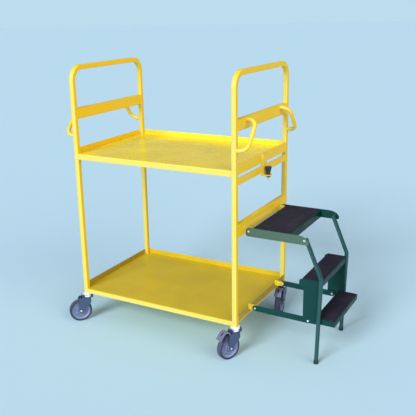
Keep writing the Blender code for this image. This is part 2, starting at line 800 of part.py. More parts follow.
def make_bolts(steel, parent):
    look = (steel, parent)
    tube_outer = STEP_TUBE_OFFSET + STEP_TUBE_RADIUS
    tube_inner = STEP_TUBE_OFFSET - STEP_TUBE_RADIUS
    plate_inner = PLATFORM_HALF - PLATFORM_SHEET
    for side in ("front", "rear"):
        faces = (PLATFORM_HALF, UPPER_LUG_INNER)
        pivot_bolt(f"platform_{side}_bolt", PIVOT_PLATFORM, side, faces, look)
        faces = (PLATFORM_HALF, tube_inner)
        pivot_bolt(f"tube_{side}_bolt", PIVOT_TUBE, side, faces, look, (plate_inner, tube_outer), 0.002)
        faces = (STEP_SIDE_OUTER, LINK_INNER)
        pivot_bolt(f"step_{side}_bolt", PIVOT_STEP, side, faces, look, (STEP_SIDE_INNER, LINK_OUTER))
        faces = (LINK_OUTER, LOWER_LUG_INNER)
        pivot_bolt(f"link_{side}_bolt", PIVOT_LOWER, side, faces, look)


# ---------------------------------------------------------------- casters


def caster_head(name, material, parent):
    """The swivel head, with its stem up in the leg and its kingpin through the fork."""
    top = LEG_BOTTOM - GAP
    profile = [
        (0.0070, top + 0.042),
        (0.0080, top + 0.040),
        (0.0080, top),
        (0.0245, top),
        (0.0245, top - 0.010),
        (0.0205, CROWN_TOP + 0.005),
        (0.0200, CROWN_TOP + GAP),
        (0.0060, CROWN_TOP + GAP),
        (0.0060, CROWN_TOP - CHEEK_THICKNESS - GAP),
        (0.0100, CROWN_TOP - CHEEK_THICKNESS - GAP),
        (0.0090, CROWN_TOP - CHEEK_THICKNESS - 0.004),
    ]
    finish(turned(name, profile, (0, 0, 0), "Z", 18), material, parent)


def caster_fork(name, material, parent):
    """A pressed fork: a crown, two cheeks, the wheel's axle and the pedal's pin."""
    x_axle = CASTER_TRAIL
    outline = [(0.046, CROWN_TOP), (0.053, 0.128), (0.054, 0.112)]
    outline += arc((x_axle, WHEEL_RADIUS), 0.0125, 25, -175, 7)
    outline += [(0.004, 0.088), (-0.0125, 0.104), (-0.014, 0.112), (-0.014, CROWN_TOP)]
    outer = CHEEK_INNER + CHEEK_THICKNESS
    cheeks = [
        plate("cheek", outline, -outer, -CHEEK_INNER),
        plate("cheek", outline, CHEEK_INNER, outer),
    ]
    half = outer - CHEEK_THICKNESS / 2
    corners = [(-0.0275, -half), (0.034, -half), (0.034, half), (-0.0275, half)]
    crown_outline = rounded(corners, [0.006, 0.004, 0.004, 0.006])
    crown = flat_plate(name, crown_outline, CROWN_TOP - CHEEK_THICKNESS, CROWN_TOP + 0.0001)
    # Turned-up flanges in front of the swivel head and behind it.
    flanges = [
        box("flange", (x, -0.0165, CROWN_TOP - 0.001), (x + 0.002, 0.0165, CROWN_FLANGE_TOP))
        for x in (-0.0275, 0.032)
    ]
    reach = outer + 0.005
    axle_profile = [
        (0.0065, -reach),
        (0.0080, -reach + 0.001),
        (0.0080, -outer + 0.001),
        (AXLE_RADIUS, -outer + 0.001),
        (AXLE_RADIUS, outer - 0.001),
        (0.0080, outer - 0.001),
        (0.0080, reach - 0.001),
        (0.0065, reach),
    ]
    axle = turned("axle", axle_profile, (x_axle, 0, WHEEL_RADIUS), "Y", 12)
    pin_reach = CHEEK_INNER + CHEEK_THICKNESS / 2
    pin_profile = [(PEDAL_PIN_RADIUS, -pin_reach), (PEDAL_PIN_RADIUS, pin_reach)]
    pin = turned("pin", pin_profile, (PEDAL_PIVOT[0], 0, PEDAL_PIVOT[1]), "Y", 10)
    fork = join(crown, *cheeks, *flanges, axle, pin)
    kingpin = turned("kingpin", [(0.0066, 0.11), (0.0066, 0.16)], (0, 0, 0), "Z", 18)
    finish(cut(fork, kingpin), material, parent)


def caster_wheel(name, material, parent):
    """The wheel centre: hub, thin web and rim."""
    bore = AXLE_RADIUS + 2 * PIN_CLEARANCE
    half = [(bore, 0.0185), (0.0155, 0.0185), (0.0170, 0.0055), (0.0470, 0.0045), (0.0550, 0.0140)]
    profile = [(r, -y) for r, y in half] + [(r, y) for r, y in half[::-1]]
    axis = (CASTER_TRAIL, 0, WHEEL_RADIUS)
    finish(turned(name, profile, axis, "Y", 24, wrap=True), material, parent, axis)


def caster_tyre(name, material, parent):
    half = [(TYRE_INNER, 0.0140), (0.0575, 0.0160), (0.0605, 0.0150), (WHEEL_RADIUS, 0.0090)]
    profile = [(r, -y) for r, y in half] + [(r, y) for r, y in half[::-1]]
    axis = (CASTER_TRAIL, 0, WHEEL_RADIUS)
    finish(turned(name, profile, axis, "Y", 28, wrap=True), material, parent, axis)


def brake_pedal(name, material, parent):
    """A foot pedal behind the crown, hinged on the fork's pin."""
    x, z = PEDAL_PIVOT
    half_width = CHEEK_INNER - 0.0007
    top = [(x + 0.002, z + 0.0065), (0.0580, 0.1545), (0.0800, 0.1510), (0.1080, 0.1185)]
    under = [(0.1052, 0.1155), (0.0785, 0.1465), (0.0600, 0.1500), (x + 0.0045, z + 0.0015)]
    blade = plate(name, top + under, -half_width, half_width)
    hub_profile = [(0.0058, -half_width), (0.0058, half_width)]
    hub = turned("hub", hub_profile, (x, 0, z), "Y", 10)
    join(blade, hub)
    bore_radius = (PEDAL_PIN_RADIUS + PIN_CLEARANCE) / math.cos(math.pi / 10)
    bore = turned("bore", [(bore_radius, -0.03), (bore_radius, 0.03)], (x, 0, z), "Y", 10)
    slot = box("slot", (0.074, -0.0045, 0.10), (0.094, 0.0045, 0.17))
    finish(cut(blade, bore, slot), material, parent, (x, 0, z))


def make_casters(zinc, fork_grey, wheel_grey, tyre_grey, pedal_grey, frame):
    for corner, angle in CASTER_ANGLES.items():
        x = LEG / 2 if corner.startswith("left") else LENGTH - LEG / 2
        y = LEG / 2 if corner.endswith("front") else WIDTH - LEG / 2
        axis = empty(f"{corner}_swivel_axis", (x, y, 0.0), frame, angle)
        caster_head(f"{corner}_caster_head", zinc, axis)
        caster_fork(f"{corner}_caster_fork", fork_grey, axis)
        caster_wheel(f"{corner}_caster_wheel", wheel_grey, axis)
        caster_tyre(f"{corner}_caster_tyre", tyre_grey, axis)
        if corner.startswith("right"):
            brake_pedal(f"{corner}_brake_pedal", pedal_grey, axis)


# ---------------------------------------------------------------- whole object


def build():
    clear_scene()
    yellow = paint("yellow_powder_coat", (0.90, 0.72, 0.03), 0.42)
    green = paint("green_enamel", (0.010, 0.095, 0.080), 0.38)
    rubber = paint("black_rubber", (0.028, 0.024, 0.032), 0.85)
    zinc = paint("zinc_plate", (0.80, 0.82, 0.84), 0.30, 1.0)
    fork_grey = paint("fork_steel", (0.10, 0.15, 0.27), 0.40, 0.6)
    wheel_grey = paint("wheel_centre", (0.29, 0.33, 0.58), 0.45)
    tyre_grey = paint("grey_tyre_rubber", (0.035, 0.040, 0.085), 0.70)
    pedal_grey = paint("pedal_steel", (0.36, 0.32, 0.50), 0.40, 0.4)
    black = paint("black_plastic", (0.02, 0.018, 0.02), 0.35)

    frame = empty("frame_corner", (-ORIGIN_X, -ORIGIN_Y, 0.0))
    end_frame("left_end_frame", 0.0, yellow, frame)
    end_frame("right_end_frame", LENGTH - LEG, yellow, frame)
    make_rails(yellow, frame)
    make_platform_rail(yellow, frame)
    make_lower_lugs(yellow, frame)
    make_shelf("lower_shelf", LOWER_DECK, LOWER_FASCIA, LOWER_END_SKIRT, yellow, frame)
    make_shelf("upper_shelf", UPPER_DECK, UPPER_FASCIA, UPPER_END_SKIRT - SHEET, yellow, frame)
    make_handle("left_front_handle", 0.0, -1, False, yellow, frame)
    make_handle("left_rear_handle", 0.0, -1, True, yellow, frame)
    make_handle("right_front_handle", LENGTH, 1, False, yellow, frame)
    make_handle("right_rear_handle", LENGTH, 1, True, yellow, frame)
    make_latch(yellow, zinc, black, frame)
    make_platform(green, rubber, frame)
    step_pivot = (PIVOT_TUBE[0], MIDDLE, PIVOT_TUBE[1])
    make_step_tubes(green, rubber, frame, step_pivot)
    make_step_sides(green, frame, step_pivot)
    make_treads(green, rubber, frame, step_pivot)
    make_links(green, frame)
    make_bolts(zinc, frame)
    make_casters(zinc, fork_grey, wheel_grey, tyre_grey, pedal_grey, frame)


build()
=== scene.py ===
"""Looks of the two-shelf trolley with its fold-up steps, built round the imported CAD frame.

Lengths are in metres. Most positions are written from the floor under the frame's left front
corner, as in the CAD, and CORNER moves them to the shared frame. Casters are written about
their swivel axis, with the wheel towards +X.
"""

import math

import bmesh
import bpy
from mathutils import Matrix, Vector


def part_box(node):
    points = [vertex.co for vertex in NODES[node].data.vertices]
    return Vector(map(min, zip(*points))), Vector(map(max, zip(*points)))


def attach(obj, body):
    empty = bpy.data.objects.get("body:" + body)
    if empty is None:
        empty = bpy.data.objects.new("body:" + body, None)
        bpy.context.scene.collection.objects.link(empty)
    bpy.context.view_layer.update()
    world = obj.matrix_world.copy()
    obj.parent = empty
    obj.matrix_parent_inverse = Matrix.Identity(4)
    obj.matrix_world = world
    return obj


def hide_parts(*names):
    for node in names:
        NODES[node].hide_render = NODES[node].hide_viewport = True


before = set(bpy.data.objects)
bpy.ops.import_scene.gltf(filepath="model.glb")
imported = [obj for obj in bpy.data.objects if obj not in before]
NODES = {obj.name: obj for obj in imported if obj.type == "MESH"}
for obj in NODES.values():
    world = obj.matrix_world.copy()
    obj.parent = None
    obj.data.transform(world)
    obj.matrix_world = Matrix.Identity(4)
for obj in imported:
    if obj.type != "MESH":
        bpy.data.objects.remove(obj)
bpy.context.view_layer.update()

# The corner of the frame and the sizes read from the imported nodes.
LEFT_LOW, LEFT_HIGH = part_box("left_end_frame")
CORNER = Matrix.Translation((LEFT_LOW.x, LEFT_LOW.y, 0.0))
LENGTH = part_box("right_end_frame")[1].x - LEFT_LOW.x
WIDTH = LEFT_HIGH.y - LEFT_LOW.y
HEIGHT = LEFT_HIGH.z
LEG = LEFT_HIGH.x - LEFT_LOW.x
LEG_BOTTOM = LEFT_LOW.z
MIDDLE = WIDTH / 2
GAP = 0.0003
SHEET = 0.002


def corner_box(node):
    """A node's lowest and highest corners, measured from the frame's corner."""
    low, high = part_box(node)
    shift = Vector((LEFT_LOW.x, LEFT_LOW.y, 0.0))
    return low - shift, high - shift


# ---------------------------------------------------------------- materials


def new_material(
    name, colour, roughness, metallic=0.0, coat=0.0, coat_roughness=0.18, specular=0.5
):
    made = bpy.data.materials.new(name)
    made.use_nodes = True
    shader = made.node_tree.nodes["Principled BSDF"]
    values = {
        "Base Color": (*colour, 1.0),
        "Roughness": roughness,
        "Metallic": metallic,
        "Coat Weight": coat,
        "Coat Roughness": coat_roughness,
        "Specular IOR Level": specular,
    }
    for socket, value in values.items():
        shader.inputs[socket].default_value = value
    return made


def node(made, kind, **inputs):
    item = made.node_tree.nodes.new(kind)
    for name, value in inputs.items():
        item.inputs[name.replace("_", " ")].default_value = value
    return item


def link(made, source, target):
    made.node_tree.links.new(source, target)


def place(made, stretch=(1.0, 1.0, 1.0), turn=(0.0, 0.0, 0.0)):
    """Object coordinates, stretched: a large number makes the pattern fine in that direction."""
    coordinate = node(made, "ShaderNodeTexCoord")
    mapping = node(made, "ShaderNodeMapping", Scale=stretch, Rotation=turn)
    link(made, coordinate.outputs["Object"], mapping.inputs["Vector"])
    return mapping.outputs["Vector"]


def noise(made, scale, detail, roughness=0.5, stretch=(1.0, 1.0, 1.0), turn=(0.0, 0.0, 0.0)):
    item = node(made, "ShaderNodeTexNoise", Scale=scale, Detail=detail, Roughness=roughness)
    link(made, place(made, stretch, turn), item.inputs["Vector"])
    return item.outputs["Fac"]


def cells(made, scale):
    item = node(made, "ShaderNodeTexVoronoi", Scale=scale)
    link(made, place(made), item.inputs["Vector"])
    return item.outputs["Distance"]


def band(made, value, low, high, start=0.0, end=1.0):
    """Maps low..high of a value to start..end, smoothly and clamped."""
    item = node(made, "ShaderNodeMapRange")
    item.interpolation_type = "SMOOTHSTEP"
    for name, number in (("From Min", low), ("From Max", high), ("To Min", start), ("To Max", end)):
        item.inputs[name].default_value = number
    link(made, value, item.inputs["Value"])
    return item.outputs["Result"]


def blend(made, share, first, second):
    """A colour between first and second; either may be a colour or a socket."""
    item = node(made, "ShaderNodeMix")
    item.data_type = "RGBA"
    link(made, share, item.inputs[0])
    for socket, colour in ((item.inputs[6], first), (item.inputs[7], second)):
        if isinstance(colour, tuple):
            socket.default_value = (*colour, 1.0)
        else:
            link(made, colour, socket)
    return item.outputs[2]


def bump(made, layers):
    """Stacks (height, strength, distance) layers into the shader's normal."""
    before = None
    for height, strength, distance in layers:
        item = node(made, "ShaderNodeBump", Strength=strength, Distance=distance)
        link(made, height, item.inputs["Height"])
        if before:
            link(made, before, item.inputs["Normal"])
        before = item.outputs["Normal"]
    link(made, before, made.node_tree.nodes["Principled BSDF"].inputs["Normal"])


def to_shader(made, source, name):
    link(made, source, made.node_tree.nodes["Principled BSDF"].inputs[name])


def tinted(colour, factor):
    return tuple(min(1.0, c * factor) for c in colour)


def painted_light_mask(made, axis, sign):
    """How far a face is turned towards one side: axis 0 or 1, sign -1 or 1; the mask for painted
    light and shade.
    """
    geometry = node(made, "ShaderNodeNewGeometry")
    parts = node(made, "ShaderNodeSeparateXYZ")
    link(made, geometry.outputs["Normal"], parts.inputs[0])
    return band(made, parts.outputs[axis], sign * 0.45, sign * 0.92)


def coated_metal(
    name, colour, roughness, worn, scuffs=0.0, coat=0.0, coat_roughness=0.18,
    specular=0.22, sides=(),
):
    """Powder coat or enamel: orange peel, slow colour drift, dull patches and a few scuffs.

    Each of sides is (axis, sign, colour): painted light or shade, the tone of the faces turned that
    way.
    """
    made = new_material(name, colour, roughness, 0.0, coat, coat_roughness, specular)
    drift = band(made, noise(made, 5.0, 3.0), 0.32, 0.68)
    painted = blend(made, drift, tinted(colour, 0.92), tinted(colour, 1.03))
    # Painted light and shade: faces turned one way take a lighter or darker tone.
    for axis, sign, tone in sides:
        painted = blend(made, painted_light_mask(made, axis, sign), painted, tone)
    specks = band(made, noise(made, 210.0, 3.0, 0.6), 0.66, 0.74, 0.0, 0.30)
    painted = blend(made, specks, painted, tinted(colour, 0.62))
    if scuffs:
        across = noise(made, 1.0, 3.0, 0.62, (7.0, 330.0, 7.0), (0.0, 0.0, 0.35))
        along = noise(made, 1.0, 3.0, 0.62, (240.0, 6.0, 6.0), (0.0, 0.0, -0.2))
        patches = band(made, noise(made, 3.2, 2.0), 0.46, 0.66, 0.0, scuffs)
        for lines in (across, along):
            marks = node(made, "ShaderNodeMath")
            marks.operation = "MULTIPLY"
            link(made, band(made, lines, 0.60, 0.68), marks.inputs[0])
            link(made, patches, marks.inputs[1])
            painted = blend(made, marks.outputs[0], painted, worn)
    to_shader(made, painted, "Base Color")
    dull = band(made, noise(made, 13.0, 4.0, 0.6), 0.30, 0.70, roughness - 0.05, roughness + 0.09)
    to_shader(made, dull, "Roughness")
    peel = noise(made, 330.0, 1.0, 0.4)
    waves = noise(made, 38.0, 1.0, 0.4)
    bump(made, [(waves, 0.10, 0.0015), (peel, 0.16, 0.0005)])
    return made


def plated(name, colour, roughness, metallic, spangle=0.10):
    """Zinc plate or bare pressed steel: spangle, brushed lines and stains."""
    made = new_material(name, colour, roughness, metallic)
    tone = band(made, cells(made, 260.0), 0.1, 0.8, 0.0, spangle * 4)
    metal = blend(made, tone, colour, tinted(colour, 0.78))
    stain = band(made, noise(made, 60.0, 4.0, 0.6), 0.56, 0.72, 0.0, 0.55)
    metal = blend(made, stain, metal, tinted(colour, 0.55))
    to_shader(made, metal, "Base Color")
    rub = noise(made, 1.0, 3.0, 0.6, (90.0, 90.0, 900.0))
    to_shader(made, band(made, rub, 0.3, 0.7, roughness - 0.08, roughness + 0.10), "Roughness")
    bump(made, [(noise(made, 160.0, 2.0), 0.10, 0.0006), (rub, 0.08, 0.0002)])
    return made


def rubber(name, colour, light, grit_scale, grit, roughness, specular=0.35):
    """Matte rubber with grit, dust and pale wear."""
    made = new_material(name, colour, roughness, specular=specular)
    speckle = band(made, noise(made, grit_scale, 3.0, 0.6), 0.50, 0.72, 0.0, 0.75)
    worn = blend(made, speckle, colour, light)
    dust = band(made, noise(made, 9.0, 4.0, 0.6), 0.48, 0.74, 0.0, 0.35)
    worn = blend(made, dust, worn, tinted(light, 1.25))
    to_shader(made, worn, "Base Color")
    even = band(made, noise(made, 22.0, 3.0), 0.3, 0.7, roughness - 0.08, roughness + 0.06)
    to_shader(made, even, "Roughness")
    grains = cells(made, grit_scale * 1.3)
    fine = noise(made, grit_scale * 2.2, 2.0)
    bump(made, [(grains, grit, 0.0007), (fine, grit * 0.6, 0.0004)])
    return made


def moulded(name, colour, roughness, coat=0.0, light=1.12):
    """Moulded plastic: fine spark texture, slight marbling and handling marks."""
    made = new_material(name, colour, roughness, coat=coat)
    marble = band(made, noise(made, 45.0, 3.0, 0.6), 0.34, 0.66)
    body = blend(made, marble, tinted(colour, 0.86), tinted(colour, light))
    dirt = band(made, noise(made, 120.0, 4.0, 0.65), 0.60, 0.74, 0.0, 0.40)
    body = blend(made, dirt, body, tinted(colour, 0.55))
    to_shader(made, body, "Base Color")
    handled = band(made, noise(made, 70.0, 3.0), 0.3, 0.7, roughness - 0.06, roughness + 0.1)
    to_shader(made, handled, "Roughness")
    bump(made, [(noise(made, 900.0, 2.0), 0.10, 0.0002), (noise(made, 90.0, 2.0), 0.06, 0.0006)])
    return made


YELLOW = (0.84, 0.612, 0.024)
# The coat reads lemon on the lit front and orange on the ends: painted light and shade, a tone for
# the faces turned each way.
YELLOW_PAINTED_LIGHT = ((1, -1, (0.70, 0.600, 0.125)), (0, 1, (0.85, 0.540, 0.010)))
GREEN = (0.0058, 0.049, 0.046)
GREEN_PAINTED_SHEEN = (0.065, 0.125, 0.088)
# Each finish is a material and the slot that the table gives it.
FINISHES = {
    "yellow": (
        coated_metal("yellow_coat", YELLOW, 0.38, (0.60, 0.47, 0.10), sides=YELLOW_PAINTED_LIGHT),
        "yellow_powder_coat",
    ),
    "deck": (
        coated_metal("upper_deck_coat", (0.93, 0.735, 0.040), 0.25, (0.60, 0.48, 0.08), 0.30, 0.12),
        "yellow_powder_coat",
    ),
    # Painted shade: the lower deck is the yellow darkened for the shade under the upper shelf.
    "low_deck_painted_shade": (
        coated_metal("lower_deck_painted_shade_coat", tinted(YELLOW, 0.74), 0.34, (0.42, 0.32, 0.05), 0.45),
        "yellow_powder_coat",
    ),
    # Painted light: a lighter, more orange copy of the yellow that lifts the lugs out of shade.
    "lug": (
        coated_metal("lug_painted_light_coat", (0.88, 0.600, 0.022), 0.36, (0.60, 0.47, 0.10)),
        "yellow_powder_coat",
    ),
    # Painted shade: a dark brown for the lower shelf's end plates, shaded by the steps.
    "low_end_painted_shade": (
        coated_metal("lower_end_painted_shade_coat", (0.40, 0.270, 0.028), 0.42, (0.42, 0.32, 0.05), 0.30),
        "yellow_powder_coat",
    ),
    # Painted highlight: faces of the tubes turned to the front take a lighter green.
    "tube": (
        coated_metal(
            "green_tube_enamel", (0.0032, 0.031, 0.032), 0.30, (0.030, 0.090, 0.080), 0.15,
            0.9, 0.07, sides=((1, -1, (0.0078, 0.066, 0.064)),),
        ),
        "green_enamel",
    ),
    # Painted shade: faces turned to +X, the lips among them, take a darker green.
    "green": (
        coated_metal(
            "green_enamel_coat", GREEN, 0.34, (0.024, 0.080, 0.072), 0.30, 0.03,
            specular=0.12, sides=((0, 1, (0.0010, 0.021, 0.017)),),
        ),
        "green_enamel",
    ),
    # Painted sheen: a lighter green for the near platform side plate, which catches the light.
    "green_painted_sheen": (
        coated_metal("green_enamel_painted_sheen", GREEN_PAINTED_SHEEN, 0.42, (0.10, 0.17, 0.13), 0.40, 0.10),
        "green_enamel",
    ),
    "mat": (
        rubber("grit_mat", (0.019, 0.017, 0.032), (0.044, 0.041, 0.064), 420.0, 0.55, 0.88, 0.2),
        "black_rubber",
    ),
    "foot": (
        rubber("foot_rubber", (0.012, 0.030, 0.028), (0.040, 0.060, 0.058), 300.0, 0.20, 0.72),
        "black_rubber",
    ),
    "cup": (plated("head_zinc", (0.92, 0.94, 0.97), 0.34, 0.30, 0.05), "zinc_plate"),
    "zinc": (plated("bright_zinc", (0.86, 0.89, 0.93), 0.26, 0.85), "zinc_plate"),
    "fork": (plated("blue_zinc_steel", (0.078, 0.108, 0.205), 0.34, 0.45), "fork_steel"),
    "pedal": (plated("pedal_zinc_steel", (0.27, 0.275, 0.43), 0.34, 0.45), "pedal_steel"),
    "wheel": (moulded("wheel_plastic", (0.215, 0.270, 0.450), 0.50), "wheel_centre"),
    "wheel_dark_painted_shade": (moulded("wheel_painted_shade_plastic", (0.075, 0.090, 0.180), 0.50), "wheel_centre"),
    "tyre": (
        rubber("tyre_side_rubber", (0.026, 0.031, 0.066), (0.060, 0.066, 0.105), 260.0, 0.10, 0.62),
        "grey_tyre_rubber",
    ),
    "tread": (
        rubber("tyre_tread_rubber", (0.080, 0.080, 0.126), (0.135, 0.132, 0.185), 300.0, 0.22, 0.8),
        "grey_tyre_rubber",
    ),
    "knob": (moulded("black_knob_plastic", (0.016, 0.015, 0.018), 0.30, 0.2, 1.6), "black_plastic"),
}


# ---------------------------------------------------------------- mesh tools

SHARP = math.radians(38)
WELD_PITCH = 0.0028


def add_object(name, mesh_data):
    bmesh.ops.recalc_face_normals(mesh_data, faces=mesh_data.faces)
    mesh = bpy.data.meshes.new(name)
    mesh_data.to_mesh(mesh)
    mesh_data.free()
    item = bpy.data.objects.new(name, mesh)
    bpy.context.scene.collection.objects.link(item)
    return item


def piece(name, mesh_data, body, finish, replaces=(), at=CORNER, bevel=0.0, segments=2, more=()):
    """Makes an object of the mesh, gives it its finishes and rides it on its CAD body."""
    item = add_object(name, mesh_data)
    mesh = item.data
    mesh.transform(at)
    material, slot = FINISHES[finish]
    mesh.materials.append(material)
    for other in more:
        mesh.materials.append(FINISHES[other][0])
    mesh.shade_smooth()
    mesh.set_sharp_from_angle(angle=SHARP)
    if bevel:
        soften(item, bevel, segments)
    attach(item, body)
    if replaces:
        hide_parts(*replaces)
    return item


def soften(item, width, segments=2):
    """Rounds an object's sharp edges with modifiers."""
    edge = item.modifiers.new("edges", "BEVEL")
    edge.limit_method = "ANGLE"
    edge.angle_limit = SHARP
    edge.width = width
    edge.segments = segments
    shade = item.modifiers.new("shade", "WEIGHTED_NORMAL")
    shade.keep_sharp = False
    shade.weight = 90


def keep_node(name, finish, bevel):
    """A CAD node whose shape is right: rounds its edges and gives it its finish."""
    item = NODES[name]
    merge = item.modifiers.new("merge", "WELD")
    merge.merge_threshold = 0.00002
    flat = item.modifiers.new("flat", "DECIMATE")
    flat.decimate_type = "DISSOLVE"
    flat.angle_limit = math.radians(0.4)
    soften(item, bevel)
    item.data.materials.clear()
    item.data.materials.append(FINISHES[finish][0])


def loft(mesh_data, rings, wrap=False, slot=0):
    """A surface through rings of equal length: capped at both ends, or wrapped into a loop."""
    rows = [[mesh_data.verts.new(point) for point in ring] for ring in rings]
    count = len(rows[0])
    pairs = list(zip(rows, rows[1:]))
    if wrap:
        pairs.append((rows[-1], rows[0]))
    made = []
    for low, high in pairs:
        for i in range(count):
            j = (i + 1) % count
            made.append(mesh_data.faces.new((low[i], low[j], high[j], high[i])))
    if not wrap:
        made.append(mesh_data.faces.new(rows[0]))
        made.append(mesh_data.faces.new(rows[-1]))
    for face in made:
        face.material_index = slot
    return made


def rounded(corners, radii, steps=6):
    """A polygon whose corners are rounded with the given radii."""
    points = []
    count = len(corners)
    for i, corner in enumerate(corners):
        here = Vector(corner)
        back = (Vector(corners[i - 1]) - here).normalized()
        ahead = (Vector(corners[(i + 1) % count]) - here).normalized()
        if radii[i] == 0:
            points.append(tuple(here))
            continue
        half = back.angle(ahead) / 2
        reach = radii[i] / math.tan(half)
        centre = here + (back + ahead).normalized() * radii[i] / math.sin(half)
        start = here + back * reach - centre
        turn = start.angle_signed(here + ahead * reach - centre)
        for k in range(steps + 1):
            share = turn * k / steps
            cosine = math.cos(share)
            sine = math.sin(share)
            spun = Vector((start.x * cosine + start.y * sine, start.y * cosine - start.x * sine))
            points.append(tuple(centre + spun))
    return points


def rectangle(half_a, half_b, radius, steps):
    corners = [(half_a, half_b), (-half_a, half_b), (-half_a, -half_b), (half_a, -half_b)]
    return rounded(corners, [radius] * 4, steps)


def filleted(corners, radius, steps):
    """A 3-D polyline with each inner corner replaced by an arc."""
    points = [Vector(corners[0])]
    for before, here, after in zip(corners, corners[1:], corners[2:]):
        here = Vector(here)
        back = (Vector(before) - here).normalized()
        ahead = (Vector(after) - here).normalized()
        half = back.angle(ahead) / 2
        centre = here + (back + ahead).normalized() * radius / math.sin(half)
        start = here + back * radius / math.tan(half) - centre
        end = here + ahead * radius / math.tan(half) - centre
        swing = start.angle(end)
        for k in range(steps + 1):
            share = k / steps
            first = math.sin((1 - share) * swing) / math.sin(swing)
            second = math.sin(share * swing) / math.sin(swing)
            points.append(centre + start * first + end * second)
    points.append(Vector(corners[-1]))
    return points


def sections(path, side, outline):
    """The outline placed square to a flat path at each of its points, mitred at the bends."""
    side = Vector(side).normalized()
    rings = []
    for i, point in enumerate(path):
        before = (point - path[i - 1]).normalized() if i else None
        after = (path[i + 1] - point).normalized() if i + 1 < len(path) else None
        tangent = ((before or after) + (after or before)).normalized()
        stretch = 1.0 / tangent.dot(after or before)
        up = side.cross(tangent) * stretch
        rings.append([point + side * a + up * b for a, b in outline])
    return rings


def circle(radius, count):
    steps = [2 * math.pi * i / count for i in range(count)]
    return [(radius * math.cos(a), radius * math.sin(a)) for a in steps]


def arc(centre, radius, start, end, steps):
    angles = [math.radians(start + (end - start) * i / steps) for i in range(steps + 1)]
    return [(centre[0] + radius * math.cos(a), centre[1] + radius * math.sin(a)) for a in angles]


def lathe(mesh_data, profile, centre, axis, sides, wrap=False, slots=None):
    """Turns a (radius, distance) profile about an axis; slots numbers some bands' materials."""
    axis = Vector(axis).normalized()
    first = axis.orthogonal().normalized()
    if abs(axis.z) < 0.5:
        first = Vector((0, 0, 1)).cross(axis).normalized()
    second = axis.cross(first)
    rings = []
    for radius, distance in profile:
        ring = []
        for i in range(sides):
            angle = 2 * math.pi * i / sides
            offset = first * math.cos(angle) + second * math.sin(angle)
            ring.append(Vector(centre) + axis * distance + offset * radius)
        rings.append(ring)
    faces = loft(mesh_data, rings, wrap)
    if slots:
        for i, face in enumerate(faces):
            face.material_index = slots.get(i // sides, 0)


def extrude(mesh_data, outline, low, high, plane="xz"):
    """An outline drawn in plane xz, xy or yz, extruded along the third axis."""
    spots = {
        "xz": lambda a, b, c: (a, c, b),
        "xy": lambda a, b, c: (a, b, c),
        "yz": lambda a, b, c: (c, a, b),
    }[plane]
    return loft(mesh_data, [[spots(a, b, c) for a, b in outline] for c in (low, high)])


def block(mesh_data, low, high):
    """A box between two opposite corners."""
    outline = [(low[0], low[1]), (high[0], low[1]), (high[0], high[1]), (low[0], high[1])]
    return extrude(mesh_data, outline, low[2], high[2], "xy")


def solid_of(build):
    """A throwaway object from a function that fills a mesh."""
    mesh_data = bmesh.new()
    build(mesh_data)
    return add_object("tool", mesh_data)


def prism(outline, low, high, plane="xz"):
    return solid_of(lambda mesh_data: extrude(mesh_data, outline, low, high, plane))


def brick(low, high):
    return solid_of(lambda mesh_data: block(mesh_data, low, high))


def shaped(first, *steps):
    """A mesh from one solid, changed by (operation, solid) steps with exact booleans."""
    for operation, other in steps:
        change = first.modifiers.new(operation, "BOOLEAN")
        change.operation = operation
        change.solver = "EXACT"
        change.object = other
    bpy.context.view_layer.update()
    graph = bpy.context.evaluated_depsgraph_get()
    mesh = bpy.data.meshes.new_from_object(first.evaluated_get(graph))
    mesh_data = bmesh.new()
    mesh_data.from_mesh(mesh)
    for _, other in steps:
        bpy.data.objects.remove(other, do_unlink=True)
    bpy.data.objects.remove(first, do_unlink=True)
    bmesh.ops.dissolve_limit(
        mesh_data, angle_limit=math.radians(0.3), verts=mesh_data.verts, edges=mesh_data.edges
    )
    return mesh_data


def bead(mesh_data, points, radius, closed=False):
    """A rippled weld bead along a polyline."""
    points = [Vector(p) for p in points]
    if closed:
        points.append(points[0])
    spots = []
    for start, end in zip(points, points[1:]):
        steps = max(1, round((end - start).length / (WELD_PITCH / 2)))
        spots += [start.lerp(end, k / steps) for k in range(steps)]
    if not closed:
        spots.append(points[-1])
    count = len(spots)
    rings = []
    for i, spot in enumerate(spots):
        ahead = spots[(i + 1) % count] if closed or i + 1 < count else spot
        behind = spots[i - 1] if closed or i else spot
        tangent = (ahead - behind).normalized()
        side = tangent.orthogonal().normalized()
        if abs(tangent.x) < 0.9:
            side = Vector((1, 0, 0)).cross(tangent).normalized()
        up = tangent.cross(side)
        wide = radius * (1.0 + 0.13 * (i % 2))
        if not closed and i in (0, count - 1):
            wide *= 0.6
        rings.append([spot + (side * a + up * b) * wide for a, b in circle(1.0, 7)])
    loft(mesh_data, rings, wrap=closed)


# ---------------------------------------------------------------- frame

TOP_BEND = 0.068
TUBE_ROUND = 0.0032
ROD = 0.0105
HANDLE_DEPTH = 0.051
HANDLE_INSET = 0.119
HANDLE_TOP = 1.184
HANDLE_BOTTOM = 1.054
HANDLE_BEND = 0.042
DECK_BELOW_TOP = 0.0275
FASCIA = 0.0295
CUT_EDGE = 0.0008
PLATFORM_LUG = (0.211, 0.221)
LUG_HALF = 0.0155
LUG_NOSE = 0.0145


